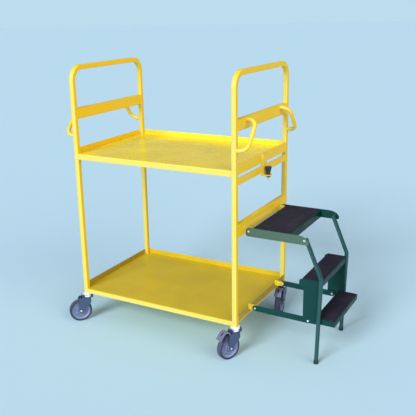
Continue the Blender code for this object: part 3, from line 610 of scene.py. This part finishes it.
def build_end_frame(name, x_left):
    mesh_data = bmesh.new()
    middle = x_left + LEG / 2
    half = LEG / 2
    corners = [
        (middle, half, LEG_BOTTOM), (middle, half, HEIGHT - half),
        (middle, WIDTH - half, HEIGHT - half), (middle, WIDTH - half, LEG_BOTTOM),
    ]
    path = filleted(corners, TOP_BEND, 16)
    loft(mesh_data, sections(path, (1, 0, 0), rectangle(half, half, TUBE_ROUND, 4)))
    piece(name, mesh_data, "frame", "yellow", [name])
    # The angle between the legs, under the lower shelf.
    mesh_data = bmesh.new()
    low = LEG - 0.001
    high = WIDTH - LEG + 0.001
    block(mesh_data, (middle - 0.0012, low, LEG_BOTTOM + 0.001), (middle + 0.0012, high, 0.1855))
    block(mesh_data, (middle - 0.010, low, 0.1835), (middle + 0.010, high, 0.186))
    piece(f"{name}_shelf_angle", mesh_data, "frame", "yellow", bevel=0.0006)


def build_rail(name, welds):
    """A rail of flat tube between two legs, with a weld round each end."""
    low, high = corner_box(name)
    centre_x = low.x + LEG / 2
    centre_z = (low.z + high.z) / 2
    outline = rectangle(LEG / 2, (high.z - low.z) / 2, TUBE_ROUND, 4)
    mesh_data = bmesh.new()
    rings = [[(centre_x + a, y, centre_z + b) for a, b in outline] for y in (low.y, high.y)]
    loft(mesh_data, rings)
    piece(name, mesh_data, "frame", "yellow", [name])
    x0, x1 = low.x, low.x + LEG
    edge, corner = 0.0004, 0.002
    loop = [(x0 + corner, low.z), (x1 - corner, low.z)]
    loop += [(x1 - edge, low.z + corner), (x1 - edge, high.z - corner)]
    loop += [(x1 - corner, high.z), (x0 + corner, high.z)]
    loop += [(x0 + edge, high.z - corner), (x0 + edge, low.z + corner)]
    for y in (LEG, WIDTH - LEG):
        bead(welds, [(x, y, z) for x, z in loop], 0.0012, closed=True)


def build_shelf(name, end_skirt, welds):
    """A folded tray: the front edge turns down, the rear edge up, and plates close the ends."""
    low, high = corner_box(name)
    deck = high.z - DECK_BELOW_TOP
    bottom = deck - SHEET
    front_drop = low.z if name == "lower_shelf" else deck - FASCIA
    outer = 0.0042
    inner = outer - SHEET
    profile = [
        (WIDTH, high.z), (WIDTH, bottom), (SHEET, bottom), (SHEET, front_drop),
        (0.0, front_drop), (0.0, deck), (WIDTH - SHEET, deck), (WIDTH - SHEET, high.z),
    ]
    radii = [CUT_EDGE, outer, inner, CUT_EDGE] * 2
    outline = rounded(profile, radii, 5)
    clear = LEG + GAP
    cutters = []
    for x in (0.0, LENGTH):
        for y in (0.0, WIDTH):
            leg = brick((x - clear, y - clear, deck - 0.1), (x + clear, y + clear, deck + 0.1))
            cutters.append(("DIFFERENCE", leg))
    mesh_data = shaped(prism(outline, SHEET * 0.9, LENGTH - SHEET * 0.9, "yz"), *cutters)
    for x in (0.0, LENGTH - SHEET):
        outline = rectangle(SHEET / 2, (high.z - bottom + end_skirt) / 2, CUT_EDGE, 3)
        centre_z = (high.z + bottom - end_skirt) / 2
        ends = [
            [(x + SHEET / 2 + a, y, centre_z + b) for a, b in outline]
            for y in (clear, WIDTH - clear)
        ]
        loft(mesh_data, ends, slot=1)
    bmesh.ops.recalc_face_normals(mesh_data, faces=mesh_data.faces)
    # The front face takes the yellow coat with its painted light.
    for face in mesh_data.faces:
        if face.normal.y < -0.9 and face.calc_center_median().y < SHEET / 2:
            face.material_index = 2
    # The lower shelf's deck and end plates take coats with painted shade.
    finish, end = ("deck", "yellow") if name == "upper_shelf" else ("low_deck_painted_shade", "low_end_painted_shade")
    piece(name, mesh_data, "frame", finish, [name], bevel=0.0004, segments=1, more=[end, "yellow"])
    inset = LEG + 0.0002
    front, rear = 0.0008, WIDTH - 0.0008
    for x in (inset, LENGTH - inset):
        bead(welds, [(x, front, front_drop + 0.002), (x, front, deck - 0.003)], 0.0012)
        bead(welds, [(x, rear, bottom + 0.004), (x, rear, high.z - 0.002)], 0.0012)
    for x in (0.0008, LENGTH - 0.0008):
        for y in (inset, WIDTH - inset):
            bead(welds, [(x, y, bottom - end_skirt + 0.002), (x, y, high.z - 0.002)], 0.0012)


def build_handle(end, side, welds):
    """A bent rod, welded to the upper rail and to the leg."""
    x_face, outward = (0.0, -1) if end == "left" else (LENGTH, 1)
    x_grip = x_face + outward * HANDLE_DEPTH
    y_rail, y_leg = HANDLE_INSET, LEG / 2
    if side == "rear":
        y_rail, y_leg = WIDTH - y_rail, WIDTH - y_leg
    corners = [Vector((x, y_rail, HANDLE_TOP)) for x in (x_face, x_grip)]
    corners += [Vector((x, y_leg, HANDLE_BOTTOM)) for x in (x_grip, x_face)]
    normal = (corners[2] - corners[1]).cross(Vector((1, 0, 0)))
    path = filleted(corners, HANDLE_BEND, 14)
    mesh_data = bmesh.new()
    loft(mesh_data, sections(path, normal, circle(ROD, 28)))
    name = f"{end}_{side}_handle"
    piece(name, mesh_data, "frame", "yellow", [name])
    for y, z in ((y_rail, HANDLE_TOP), (y_leg, HANDLE_BOTTOM)):
        ring = [(x_face, y + a, z + b) for a, b in circle(ROD + GAP, 28)]
        bead(welds, ring, 0.0017, closed=True)


def lug_weld(welds, y_low, y_high, z_low, z_high):
    """A weld round the root of a lug on the right end."""
    corners = [(y_low, z_low), (y_high, z_low), (y_high, z_high), (y_low, z_high)]
    bead(welds, [(LENGTH + 0.0004, y, z) for y, z in corners], 0.0016, closed=True)


def build_frame():
    welds = bmesh.new()
    build_end_frame("left_end_frame", 0.0)
    build_end_frame("right_end_frame", LENGTH - LEG)
    for name in ("left_upper_rail", "right_upper_rail"):
        build_rail(name, welds)
    for side in ("front", "rear"):
        for end in ("left", "right"):
            build_handle(end, side, welds)
    build_shelf("upper_shelf", 0.0205, welds)
    build_shelf("lower_shelf", 0.004, welds)
    build_rail("platform_rail", welds)
    build_platform_lugs(welds)
    keep_node("latch_rail", "yellow", 0.0012)
    low, high = corner_box("latch_rail")
    for y in (low.y, high.y):
        for x in (high.x - 0.0006, low.x):
            bead(welds, [(x, y, low.z + 0.001), (x, y, high.z - 0.001)], 0.0015)
    for side in ("front", "rear"):
        node_name = f"lower_{side}_lug"
        keep_node(node_name, "lug", 0.0010)
        low, high = corner_box(node_name)
        lug_weld(welds, low.y, high.y, low.z + 0.0005, high.z - 0.0005)
    piece("frame_welds", welds, "frame", "yellow")


def build_platform_lugs(welds):
    x, z = LENGTH - 0.001, PIVOT_A[1]
    nose = arc(PIVOT_A, LUG_NOSE, -75, 75, 18)
    outline = [(x, z - LUG_HALF)] + nose + [(x, z + LUG_HALF)]
    for side, sign in (("front", -1), ("rear", 1)):
        near, far = (MIDDLE + sign * y for y in PLATFORM_LUG)
        mesh_data = bmesh.new()
        extrude(mesh_data, outline, near, far)
        piece(f"platform_{side}_lug", mesh_data, "frame", "yellow", bevel=0.0010)
        lug_weld(welds, near, far, z - LUG_HALF, z + LUG_HALF)


# ---------------------------------------------------------------- latch


def build_latch():
    keep_node("latch_bracket", "yellow", 0.0009)
    low, high = corner_box("latch_pin")
    x = (low.x + high.x) / 2
    y = (low.y + high.y) / 2
    sleeve = 0.0105
    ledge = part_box("latch_barrel")[1].z - sleeve
    up = (0, 0, 1)
    # Barrel: a black sleeve above the ledge that the knob slides over, and a round nose below it.
    mesh_data = bmesh.new()
    profile = [
        (0.0043, ledge + sleeve), (0.0092, ledge + sleeve), (0.0100, ledge + 0.0101),
        (0.0102, ledge + 0.0095), (0.0102, ledge + 0.0004), (0.0080, ledge + 0.0003),
        (0.0080, ledge - 0.0053), (0.0122, ledge - 0.0053), (0.0125, ledge - 0.0058),
        (0.0125, ledge - 0.0088), (0.0118, ledge - 0.0106), (0.0104, ledge - 0.0124),
        (0.0084, ledge - 0.0138), (0.0065, ledge - 0.0145), (0.0043, ledge - 0.0145),
    ]
    lathe(mesh_data, profile, (x, y, 0.0), up, 40, wrap=True)
    piece("latch_barrel", mesh_data, "frame", "knob", ["latch_barrel"])
    mesh_data = bmesh.new()
    tip = low.z
    profile = [(0.0012, tip), (0.0026, tip + 0.0003), (0.0036, tip + 0.0014)]
    profile += [(0.0040, tip + 0.0030), (0.0040, high.z)]
    lathe(mesh_data, profile, (x, y, 0.0), up, 28)
    piece("latch_pin", mesh_data, "latch_plunger", "zinc", ["latch_pin"])
    low, high = corner_box("latch_knob")
    base, top = low.z, high.z
    profile = [
        (0.0043, top - 0.0057), (0.0043, base + 0.013), (0.0110, base + 0.013), (0.0110, base),
        (0.0118, base), (0.0122, base + 0.0005), (0.0127, base + 0.0022),
        (0.0132, base + 0.0080), (0.0139, base + 0.0122), (0.0150, base + 0.0156),
        (0.0161, base + 0.0184), (0.0165, base + 0.0208), (0.0164, base + 0.0230),
        (0.0156, base + 0.0255), (0.0138, base + 0.0275), (0.0108, base + 0.0286),
        (0.0072, base + 0.0290), (0.0070, base + 0.0283), (0.0018, base + 0.0283),
    ]
    mesh_data = bmesh.new()
    lathe(mesh_data, profile, (x, y, 0.0), up, 44)
    piece("latch_knob", mesh_data, "latch_plunger", "knob", ["latch_knob"])


# ---------------------------------------------------------------- steps


def node_centre(name):
    low, high = corner_box(name)
    return (low + high) / 2


def pivot_of(name):
    """Where a bolt's axis crosses the XZ plane."""
    middle = node_centre(name)
    return (middle.x, middle.z)


PIVOT_A = pivot_of("platform_front_bolt")
PIVOT_B = pivot_of("tube_front_bolt")
TUBE_RADIUS = 0.0105
TUBE_WALL = 0.0015
TUBE_BOTTOM = 0.007
TUBE_BEND = 0.035
BEND = (1.337, 0.447)
FOOT_X = 1.3255
HEAD_HEIGHT = 0.0045
SHANK = 0.0040


def tube_x(z):
    """Where the lower leg of a step tube stands at height z."""
    return FOOT_X + (BEND[0] - FOOT_X) * z / BEND[1]


def grit_mat(name, body):
    """A mat with rounded corners and edges; its material gives the grit."""
    low, high = corner_box(name)
    corners = [(high.x, high.y), (low.x, high.y), (low.x, low.y), (high.x, low.y)]
    mesh_data = bmesh.new()
    extrude(mesh_data, rounded(corners, [0.003] * 4, 4), low.z, high.z, "xy")
    piece(name, mesh_data, body, "mat", [name], bevel=0.0009)


def build_step_tubes():
    top = Vector((PIVOT_B[0], 0.0, PIVOT_B[1]))
    bend = Vector((BEND[0], 0.0, BEND[1]))
    overhang = (top - bend).normalized() * 0.0012
    for side in ("front", "rear"):
        name = f"step_{side}_tube"
        centre = node_centre(name).y
        foot_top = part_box(f"{side}_foot")[1].z
        across = Vector((0.0, centre, 0.0))
        end = (tube_x(TUBE_BOTTOM), centre, TUBE_BOTTOM)
        path = filleted([top + overhang + across, bend + across, end], TUBE_BEND, 14)
        outer = sections(path, (0, 1, 0), circle(TUBE_RADIUS, 32))
        inner = sections(path, (0, 1, 0), circle(TUBE_RADIUS - TUBE_WALL, 32))
        mesh_data = bmesh.new()
        loft(mesh_data, outer + inner[::-1], wrap=True)
        piece(name, mesh_data, "step_frame", "tube", [name])

        # The rubber foot: a cup with a groove round it.
        wall = TUBE_RADIUS + 0.0015
        cup = [
            (wall - 0.0022, 0.0), (wall - 0.0008, 0.0004), (wall, 0.0018), (wall, 0.0060),
            (wall - 0.0004, 0.0066), (wall - 0.0004, 0.0074), (wall, 0.0080),
            (wall, foot_top - 0.0012), (wall - 0.0006, foot_top - 0.0003),
            (TUBE_RADIUS + GAP, foot_top), (TUBE_RADIUS + GAP, TUBE_BOTTOM - 0.0004),
        ]
        rings = [[(tube_x(z) + a, centre + b, z) for a, b in circle(r, 32)] for r, z in cup]
        mesh_data = bmesh.new()
        loft(mesh_data, rings)
        piece(f"{side}_foot", mesh_data, "step_frame", "foot", [f"{side}_foot"])


def pivot_bolt(name, body):
    """A domed bolt head with its washer, the shank and its collars, and the fixed end."""
    low, high = corner_box(name)
    centre = (low + high) / 2
    kind, side, _ = name.split("_")
    outer, inward = (low.y, 1) if side == "front" else (high.y, -1)
    head = [
        (0.0012, 0.0000), (0.0029, 0.0003), (0.0043, 0.0011), (0.0051, 0.0022),
        (0.0054, 0.0032), (0.0060, 0.0033), (0.0061, 0.0036), (0.0060, HEAD_HEIGHT),
        (SHANK, HEAD_HEIGHT),
    ]
    reach = high.y - low.y
    in_tube = kind == "tube"
    end_height = 0.002 if in_tube else 0.0045
    collar_end = {"tube": 0.0197, "step": 0.0107}.get(kind)
    collar = []
    if collar_end:
        collar = [(SHANK, 0.0081), (0.0068, 0.0081), (0.0068, collar_end), (SHANK, collar_end)]
    end = reach - end_height
    wide = SHANK + end_height / 2
    profile = head + collar + [
        (SHANK, end), (wide, end), (wide, end + end_height * 0.5),
        (wide - 0.0006, end + end_height * 0.8), (wide - 0.0016, reach),
    ]
    mesh_data = bmesh.new()
    lathe(mesh_data, profile, (centre.x, outer, centre.z), (0, inward, 0), 36)
    # A tube bolt is painted over with its tube, all but the head.
    if in_tube:
        for face in mesh_data.faces:
            if abs(face.calc_center_median().y - outer) > 0.0050:
                face.material_index = 1
    piece(name, mesh_data, body, "zinc", [name], more=["tube"])


def build_lower_tread():
    """A tread folded from sheet: a deck with a lip at +X and down-turned ends."""
    name = "lower_tread"
    low, high = corner_box(name)
    sheet, fold, past = 0.0025, 0.0045, 0.01
    corners = [(low.x, low.z), (high.x, low.z), (high.x, high.z), (low.x, high.z)]
    outside = rounded(corners, [0.0, 0.0, fold, 0.0])
    x_out, x_in = low.x - past, high.x - sheet
    z_out, z_in = low.z - past, high.z - sheet
    corners = [(x_out, z_out), (x_in, z_out), (x_in, z_in), (x_out, z_in)]
    hollow = rounded(corners, [0.0, 0.0, fold - sheet, 0.0])
    mesh_data = shaped(
        prism(outside, low.y, high.y),
        ("DIFFERENCE", prism(hollow, low.y + sheet, high.y - sheet)),
    )
    piece(name, mesh_data, "step_frame", "green", [name], bevel=0.0008)


def build_steps():
    for side in ("front", "rear"):
        # Only the near side plate catches the light; its lighter green is a painted sheen.
        keep_node(f"platform_{side}_side", "green_painted_sheen" if side == "front" else "green", 0.0007)
        keep_node(f"step_{side}_side", "green", 0.0007)
        keep_node(f"lower_{side}_link", "green", 0.0010)
    keep_node("platform_tread", "green", 0.0006)
    keep_node("middle_tread", "green", 0.0006)
    build_lower_tread()
    grit_mat("platform_mat", "platform")
    grit_mat("middle_mat", "step_frame")
    grit_mat("lower_mat", "step_frame")
    build_step_tubes()
    for side in ("front", "rear"):
        pivot_bolt(f"platform_{side}_bolt", "frame")
        pivot_bolt(f"tube_{side}_bolt", "platform")
        pivot_bolt(f"step_{side}_bolt", "step_frame")
        pivot_bolt(f"link_{side}_bolt", "frame")
    build_step_welds()


def build_step_welds():
    welds = bmesh.new()
    heights = [0.216 + 0.189 * k / 5 for k in range(6)]
    for sign in (-1, 1):
        # Side plate to tube, outside and inside of the tube.
        for y in (MIDDLE + sign * 0.1887, MIDDLE + sign * 0.1865):
            bead(welds, [(tube_x(z), y, z) for z in heights], 0.0013)
        # The ends of the two treads.
        for name, across, start, end in (
            ("middle_tread", 0.1885, 0.006, 0.006),
            ("lower_tread", 0.1852, 0.002, 0.0),
        ):
            low, high = corner_box(name)
            y = MIDDLE + sign * across
            z = high.z - 0.0032
            bead(welds, [(low.x + start, y, z), (tube_x(z) - end, y, z)], 0.0010)
    piece("step_welds", welds, "step_frame", "green")
    welds = bmesh.new()
    low, high = corner_box("platform_tread")
    z = low.z + 0.0400
    for sign in (-1, 1):
        y = MIDDLE + sign * 0.2218
        bead(welds, [(low.x + 0.002, y, z), (high.x - 0.006, y, z)], 0.0011)
    piece("platform_welds", welds, "platform", "green")


# ---------------------------------------------------------------- casters

TRAIL = 0.045
AXLE_Z = 0.0625
CROWN = 0.1397
CHEEK = 0.003
HALF_FORK = 0.023
CROWN_REAR = -0.0275
FLANGE_TOP = 0.1565
FLANGE_HALF = 0.0165
PEDAL_X = 0.040
PEDAL_Z = 0.1315


def build_head(name, at):
    """The plated swivel head: a cup under the leg, its raceway and the kingpin's rivet."""
    top = LEG_BOTTOM - GAP
    profile = [
        (0.0070, top + 0.020), (0.0070, top), (0.0238, top), (0.0243, top - 0.0004),
        (0.0245, top - 0.0012), (0.0245, top - 0.0085), (0.0242, top - 0.0098),
        (0.0232, top - 0.0112), (0.0215, top - 0.0128), (0.0206, top - 0.0150),
        (0.0203, top - 0.0172), (0.0196, top - 0.0180), (0.0196, top - 0.0188),
        (0.0203, top - 0.0196), (0.0204, CROWN + 0.0018), (0.0200, CROWN + GAP),
        (0.0060, CROWN + GAP), (0.0060, CROWN - CHEEK - GAP), (0.0100, CROWN - CHEEK - GAP),
        (0.0100, CROWN - CHEEK - 0.0022), (0.0090, CROWN - CHEEK - 0.0040),
    ]
    mesh_data = bmesh.new()
    lathe(mesh_data, profile, (0, 0, 0), (0, 0, 1), 56)
    piece(name, mesh_data, "frame", "cup", [name], at)


def build_fork(corner, at):
    """A pressed fork: one folded sheet with round shoulders, cut to its side outline."""
    inside = HALF_FORK - CHEEK
    section = [(-HALF_FORK, 0.03), (-HALF_FORK, CROWN), (HALF_FORK, CROWN), (HALF_FORK, 0.03)]
    section += [(inside, 0.03), (inside, CROWN - CHEEK), (-inside, CROWN - CHEEK), (-inside, 0.03)]
    section = rounded(section, [0.0, 0.0042, 0.0042, 0.0, 0.0, 0.0014, 0.0014, 0.0], 5)
    under = CROWN - CHEEK - 0.0004
    outline = arc((TRAIL, AXLE_Z), 0.0125, 25, -175, 18)
    outline += [(0.004, 0.088), (-0.0105, 0.1015), (-0.0132, 0.1065), (-0.0141, 0.1130)]
    outline += [(-0.0140, under - 0.003), (-0.0152, under), (CROWN_REAR, under)]
    outline += [(CROWN_REAR, 0.15), (0.046, 0.15), (0.046, CROWN), (0.053, 0.128), (0.054, 0.112)]
    front = 0.06
    plan = [(CROWN_REAR, -HALF_FORK), (front, -HALF_FORK), (front, HALF_FORK)]
    plan = rounded(plan + [(CROWN_REAR, HALF_FORK)], [0.006, 0.0, 0.0, 0.006])

    def kingpin(mesh_data):
        lathe(mesh_data, [(0.0066, 0.11), (0.0066, 0.16)], (0, 0, 0), (0, 0, 1), 28)

    mesh_data = shaped(
        prism(section, -0.06, 0.08, "yz"),
        ("INTERSECT", prism(outline, -0.06, 0.06)),
        ("INTERSECT", prism(plan, 0.02, 0.16, "xy")),
        ("DIFFERENCE", solid_of(kingpin)),
        # The window that the pedal's hinge turns in.
        ("DIFFERENCE", brick((0.034, -0.0200, 0.115), (0.09, 0.0200, 0.16))),
    )
    # Flanges turned up in front of the swivel head and behind it, with a gusset at each side.
    root = CROWN - 0.001
    flange = [(-FLANGE_HALF, root), (FLANGE_HALF, root)]
    flange += [(FLANGE_HALF, FLANGE_TOP), (-FLANGE_HALF, FLANGE_TOP)]
    flange = rounded(flange, [0.0, 0.0, 0.006, 0.006])
    for x in (CROWN_REAR, 0.032):
        extrude(mesh_data, flange, x, x + SHEET, "yz")
    gusset = [(-0.0274, root), (-0.0274, 0.1535), (-0.0262, 0.1558), (-0.0218, 0.1558)]
    gusset += [(-0.0190, 0.1490), (-0.0150, root)]
    for y in (-0.0192, 0.0172):
        extrude(mesh_data, gusset, y, y + SHEET)
    washer = [(0.0050, 0.0), (0.0090, 0.0), (0.0091, 0.0008), (0.0086, 0.0011), (0.0050, 0.0011)]
    for sign in (-1, 1):
        lathe(mesh_data, washer, (TRAIL, sign * HALF_FORK, AXLE_Z), (0, sign, 0), 32, wrap=True)
    body = f"{corner}_fork"
    name = f"{corner}_caster_fork"
    piece(name, mesh_data, body, "fork", [name], at, bevel=0.0006)

    # The axle's domed ends, and the pin that the pedal turns on.
    mesh_data = bmesh.new()
    dome = [(0.0056, 0.0011), (0.0056, 0.0030), (0.0051, 0.0040), (0.0038, 0.0047)]
    dome += [(0.0014, 0.0050)]
    for sign in (-1, 1):
        lathe(mesh_data, dome, (TRAIL, sign * HALF_FORK, AXLE_Z), (0, sign, 0), 32)
    rod = [(0.0050, -0.0205), (0.0050, 0.0205)]
    lathe(mesh_data, rod, (TRAIL, 0, AXLE_Z), (0, 1, 0), 28)
    piece(f"{corner}_axle_bolt", mesh_data, body, "zinc", at=at)
    mesh_data = bmesh.new()
    pin = [(0.0026, -0.0242), (0.0036, -0.0238), (0.0038, -0.0229), (0.0030, -0.0228)]
    pin += [(r, -y) for r, y in pin[::-1]]
    lathe(mesh_data, pin, (PEDAL_X, 0, PEDAL_Z), (0, 1, 0), 24)
    piece(f"{corner}_pedal_pin", mesh_data, body, "fork", at=at)


def build_wheel(corner, at):
    """The moulded wheel centre with its rings, and the tyre with round shoulders."""
    half = [
        (0.0056, 0.0185), (0.0085, 0.0185), (0.0088, 0.0178), (0.0100, 0.0178),
        (0.0103, 0.0185), (0.0145, 0.0183), (0.0156, 0.0172), (0.0170, 0.0090),
        (0.0182, 0.0078), (0.0215, 0.0074), (0.0220, 0.0056), (0.0250, 0.0056),
        (0.0255, 0.0074), (0.0295, 0.0074), (0.0300, 0.0056), (0.0330, 0.0056),
        (0.0335, 0.0074), (0.0375, 0.0074), (0.0380, 0.0056), (0.0410, 0.0056),
        (0.0415, 0.0074), (0.0448, 0.0076), (0.0466, 0.0088), (0.0486, 0.0126),
        (0.0498, 0.0138), (0.0524, 0.0142), (0.0528, 0.0136), (0.0546, 0.0136),
        (0.0553, 0.0132),
    ]
    # Dark, as painted shade: the three grooves with their walls, the hub's side and the rim.
    grooves = [i for i, (r, y) in enumerate(half[:-1]) if y == half[i + 1][1] == 0.0056]
    rim = [i for i, (r, y) in enumerate(half[:-1]) if r > 0.0496]
    hub_painted_shade = [5, 6, 7]
    dark = [i + step for i in grooves for step in (-1, 0, 1)] + rim + hub_painted_shade
    profile = [(r, -y) for r, y in half] + half[::-1]
    last = len(profile) - 2
    slots = {i: 1 for i in dark + [last - i for i in dark] + [len(half) - 1]}
    centre = (TRAIL, 0, AXLE_Z)
    body = f"{corner}_wheel"
    name = f"{corner}_caster_wheel"
    mesh_data = bmesh.new()
    lathe(mesh_data, profile, centre, (0, 1, 0), 80, wrap=True, slots=slots)
    piece(name, mesh_data, body, "wheel", [name], at, more=["wheel_dark_painted_shade"])
    half = [
        (0.0557, 0.0138), (0.0560, 0.0150), (0.0572, 0.0158), (0.0586, 0.0159),
        (0.0589, 0.0155), (0.0594, 0.0154), (0.0604, 0.0150), (0.0614, 0.0138),
        (0.0620, 0.0118), (0.0624, 0.0085), (0.0625, 0.0040),
    ]
    profile = [(r, -y) for r, y in half] + half[::-1]
    tread = 8
    slots = {i: 1 for i in range(tread, len(profile) - 1 - tread)}
    name = f"{corner}_caster_tyre"
    mesh_data = bmesh.new()
    lathe(mesh_data, profile, centre, (0, 1, 0), 88, wrap=True, slots=slots)
    piece(name, mesh_data, body, "tyre", [name], at, more=["tread"])


def build_pedal(corner, at):
    """A pressed pedal: a curved blade with raised edges, a slot and its hinge barrel."""
    half = 0.0193
    top = [
        (PEDAL_X + 0.002, PEDAL_Z + 0.0065), (0.0480, 0.1462), (0.0545, 0.1528),
        (0.0600, 0.1546), (0.0700, 0.1540), (0.0800, 0.1508), (0.0890, 0.1436),
        (0.0980, 0.1322), (0.1080, 0.1185),
    ]
    under = [
        (0.1052, 0.1155), (0.0958, 0.1286), (0.0870, 0.1396), (0.0785, 0.1464),
        (0.0690, 0.1496), (0.0610, 0.1500), (0.0560, 0.1480), (0.0500, 0.1410),
        (PEDAL_X + 0.0045, PEDAL_Z + 0.0015),
    ]
    slot = [(0.083 + a, b) for a, b in rectangle(0.0105, 0.0048, 0.0040, 5)]
    hollow = [
        (0.0560, 0.1600), (0.0610, 0.1532), (0.0690, 0.1528), (0.0794, 0.1496),
        (0.0882, 0.1425), (0.0970, 0.1312), (0.1020, 0.1243), (0.1120, 0.1600),
    ]
    ridge = 0.0040
    mesh_data = shaped(
        prism(top + under, -half, half),
        ("DIFFERENCE", prism(hollow, ridge - half, half - ridge)),
        ("DIFFERENCE", prism(slot, 0.10, 0.17, "xy")),
    )
    # A dark sheet closes the slot from below: painted shade in the slot.
    slot_painted_shade = [(0.0735, 0.1500), (0.0830, 0.1452), (0.0930, 0.1352)]
    slot_painted_shade += [(x, z - 0.001) for x, z in slot_painted_shade[::-1]]
    for face in extrude(mesh_data, slot_painted_shade, -0.0046, 0.0046):
        face.material_index = 1
    barrel = [(0.0033, -half), (0.0052, -half), (0.0057, -half + 0.0006)]
    barrel += [(r, -y) for r, y in barrel[::-1]]
    lathe(mesh_data, barrel, (PEDAL_X, 0, PEDAL_Z), (0, 1, 0), 32, wrap=True)
    name = f"{corner}_brake_pedal"
    piece(name, mesh_data, f"{corner}_pedal", "pedal", [name], at, bevel=0.0006, more=["tyre"])


def build_casters():
    for corner in ("left_front", "left_rear", "right_front", "right_rear"):
        x = LEFT_LOW.x + (LEG / 2 if corner.startswith("left") else LENGTH - LEG / 2)
        y = LEFT_LOW.y + (LEG / 2 if corner.endswith("front") else WIDTH - LEG / 2)
        low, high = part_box(f"{corner}_caster_wheel")
        to_wheel = (low + high) / 2 - Vector((x, y, 0.0))
        angle = math.atan2(to_wheel.y, to_wheel.x)
        at = Matrix.Translation((x, y, 0.0)) @ Matrix.Rotation(angle, 4, "Z")
        build_head(f"{corner}_caster_head", at)
        build_fork(corner, at)
        build_wheel(corner, at)
        if corner.startswith("right"):
            build_pedal(corner, at)


# ---------------------------------------------------------------- studio

BACKDROP = (0.498, 0.720, 0.850)
FLOOR = (0.516, 0.736, 0.845)
SKY = 0.31
SKY_COLOUR = (0.86, 0.95, 1.22)
# Each lamp: name, the way to it, strength, angle across in degrees, colour, seen in reflections.
LAMPS = (
    ("key", (-0.10, -0.87, 0.48), 3.0, 26.0, (0.95, 0.98, 1.0), True),
    ("fill", (0.88, -0.40, 0.34), 2.2, 60.0, (1.0, 0.90, 0.74), False),
)


def build_camera():
    """The photograph's camera, found from the frame's edges."""
    yaw = math.radians(29.36)
    pitch = math.radians(16.93)
    roll = math.radians(-1.10)
    level = math.cos(pitch)
    ahead = Vector((-math.sin(yaw) * level, math.cos(yaw) * level, -math.sin(pitch)))
    right = Vector((math.cos(yaw), math.sin(yaw), 0.0))
    up = right.cross(ahead)
    right_rolled = right * math.cos(roll) + up * math.sin(roll)
    up_rolled = up * math.cos(roll) - right * math.sin(roll)
    columns = Matrix((right_rolled, up_rolled, -ahead)).transposed().to_4x4()
    data = bpy.data.cameras.new("camera")
    data.sensor_width = 36.0
    data.lens = 57.97
    data.shift_x = 0.0200
    data.shift_y = 0.0031
    data.clip_end = 60.0
    camera = bpy.data.objects.new("camera", data)
    camera.matrix_world = CORNER @ Matrix.Translation((2.2765, -2.7056, 1.6958)) @ columns
    bpy.context.scene.collection.objects.link(camera)
    bpy.context.scene.camera = camera


def build_floor():
    """A wide, flat, pale floor, which meets the backdrop's colour at the horizon."""
    sides = 64
    mesh_data = bmesh.new()
    rows = [
        [mesh_data.verts.new((x, y, 0.0)) for x, y in circle(reach, sides)]
        for reach in (2.0, 8.0, 60.0)
    ]
    for low, high in zip(rows, rows[1:]):
        for i in range(sides):
            j = (i + 1) % sides
            mesh_data.faces.new((low[i], low[j], high[j], high[i]))
    mesh_data.faces.new(rows[0])
    floor = add_object("floor", mesh_data)
    floor.data.materials.append(new_material("pale_floor", FLOOR, 1.0, specular=0.0))


def build_lights():
    """Soft white daylight, a key from the front and a broad fill from the steps' end."""
    world = bpy.data.worlds.new("studio")
    world.use_nodes = True
    tree = world.node_tree
    background = tree.nodes["Background"]
    background.inputs["Color"].default_value = (*SKY_COLOUR, 1.0)
    background.inputs["Strength"].default_value = SKY
    # What the camera sees above the floor is a plain backdrop of the floor's colour.
    backdrop = tree.nodes.new("ShaderNodeBackground")
    backdrop.inputs["Color"].default_value = (*BACKDROP, 1.0)
    rays = tree.nodes.new("ShaderNodeLightPath")
    choice = tree.nodes.new("ShaderNodeMixShader")
    tree.links.new(rays.outputs["Is Camera Ray"], choice.inputs[0])
    tree.links.new(background.outputs[0], choice.inputs[1])
    tree.links.new(backdrop.outputs[0], choice.inputs[2])
    tree.links.new(choice.outputs[0], tree.nodes["World Output"].inputs["Surface"])
    bpy.context.scene.world = world
    for name, toward, strength, angle, colour, shiny in LAMPS:
        data = bpy.data.lights.new(name, "SUN")
        data.energy = strength
        data.angle = math.radians(angle)
        data.color = colour
        lamp = bpy.data.objects.new(name, data)
        lamp.visible_glossy = shiny
        lamp.rotation_mode = "QUATERNION"
        lamp.rotation_quaternion = Vector(toward).to_track_quat("Z", "Y")
        bpy.context.scene.collection.objects.link(lamp)


build_frame()
build_latch()
build_steps()
build_casters()
build_camera()
build_floor()
build_lights()
bpy.context.scene.view_settings.view_transform = "Standard"
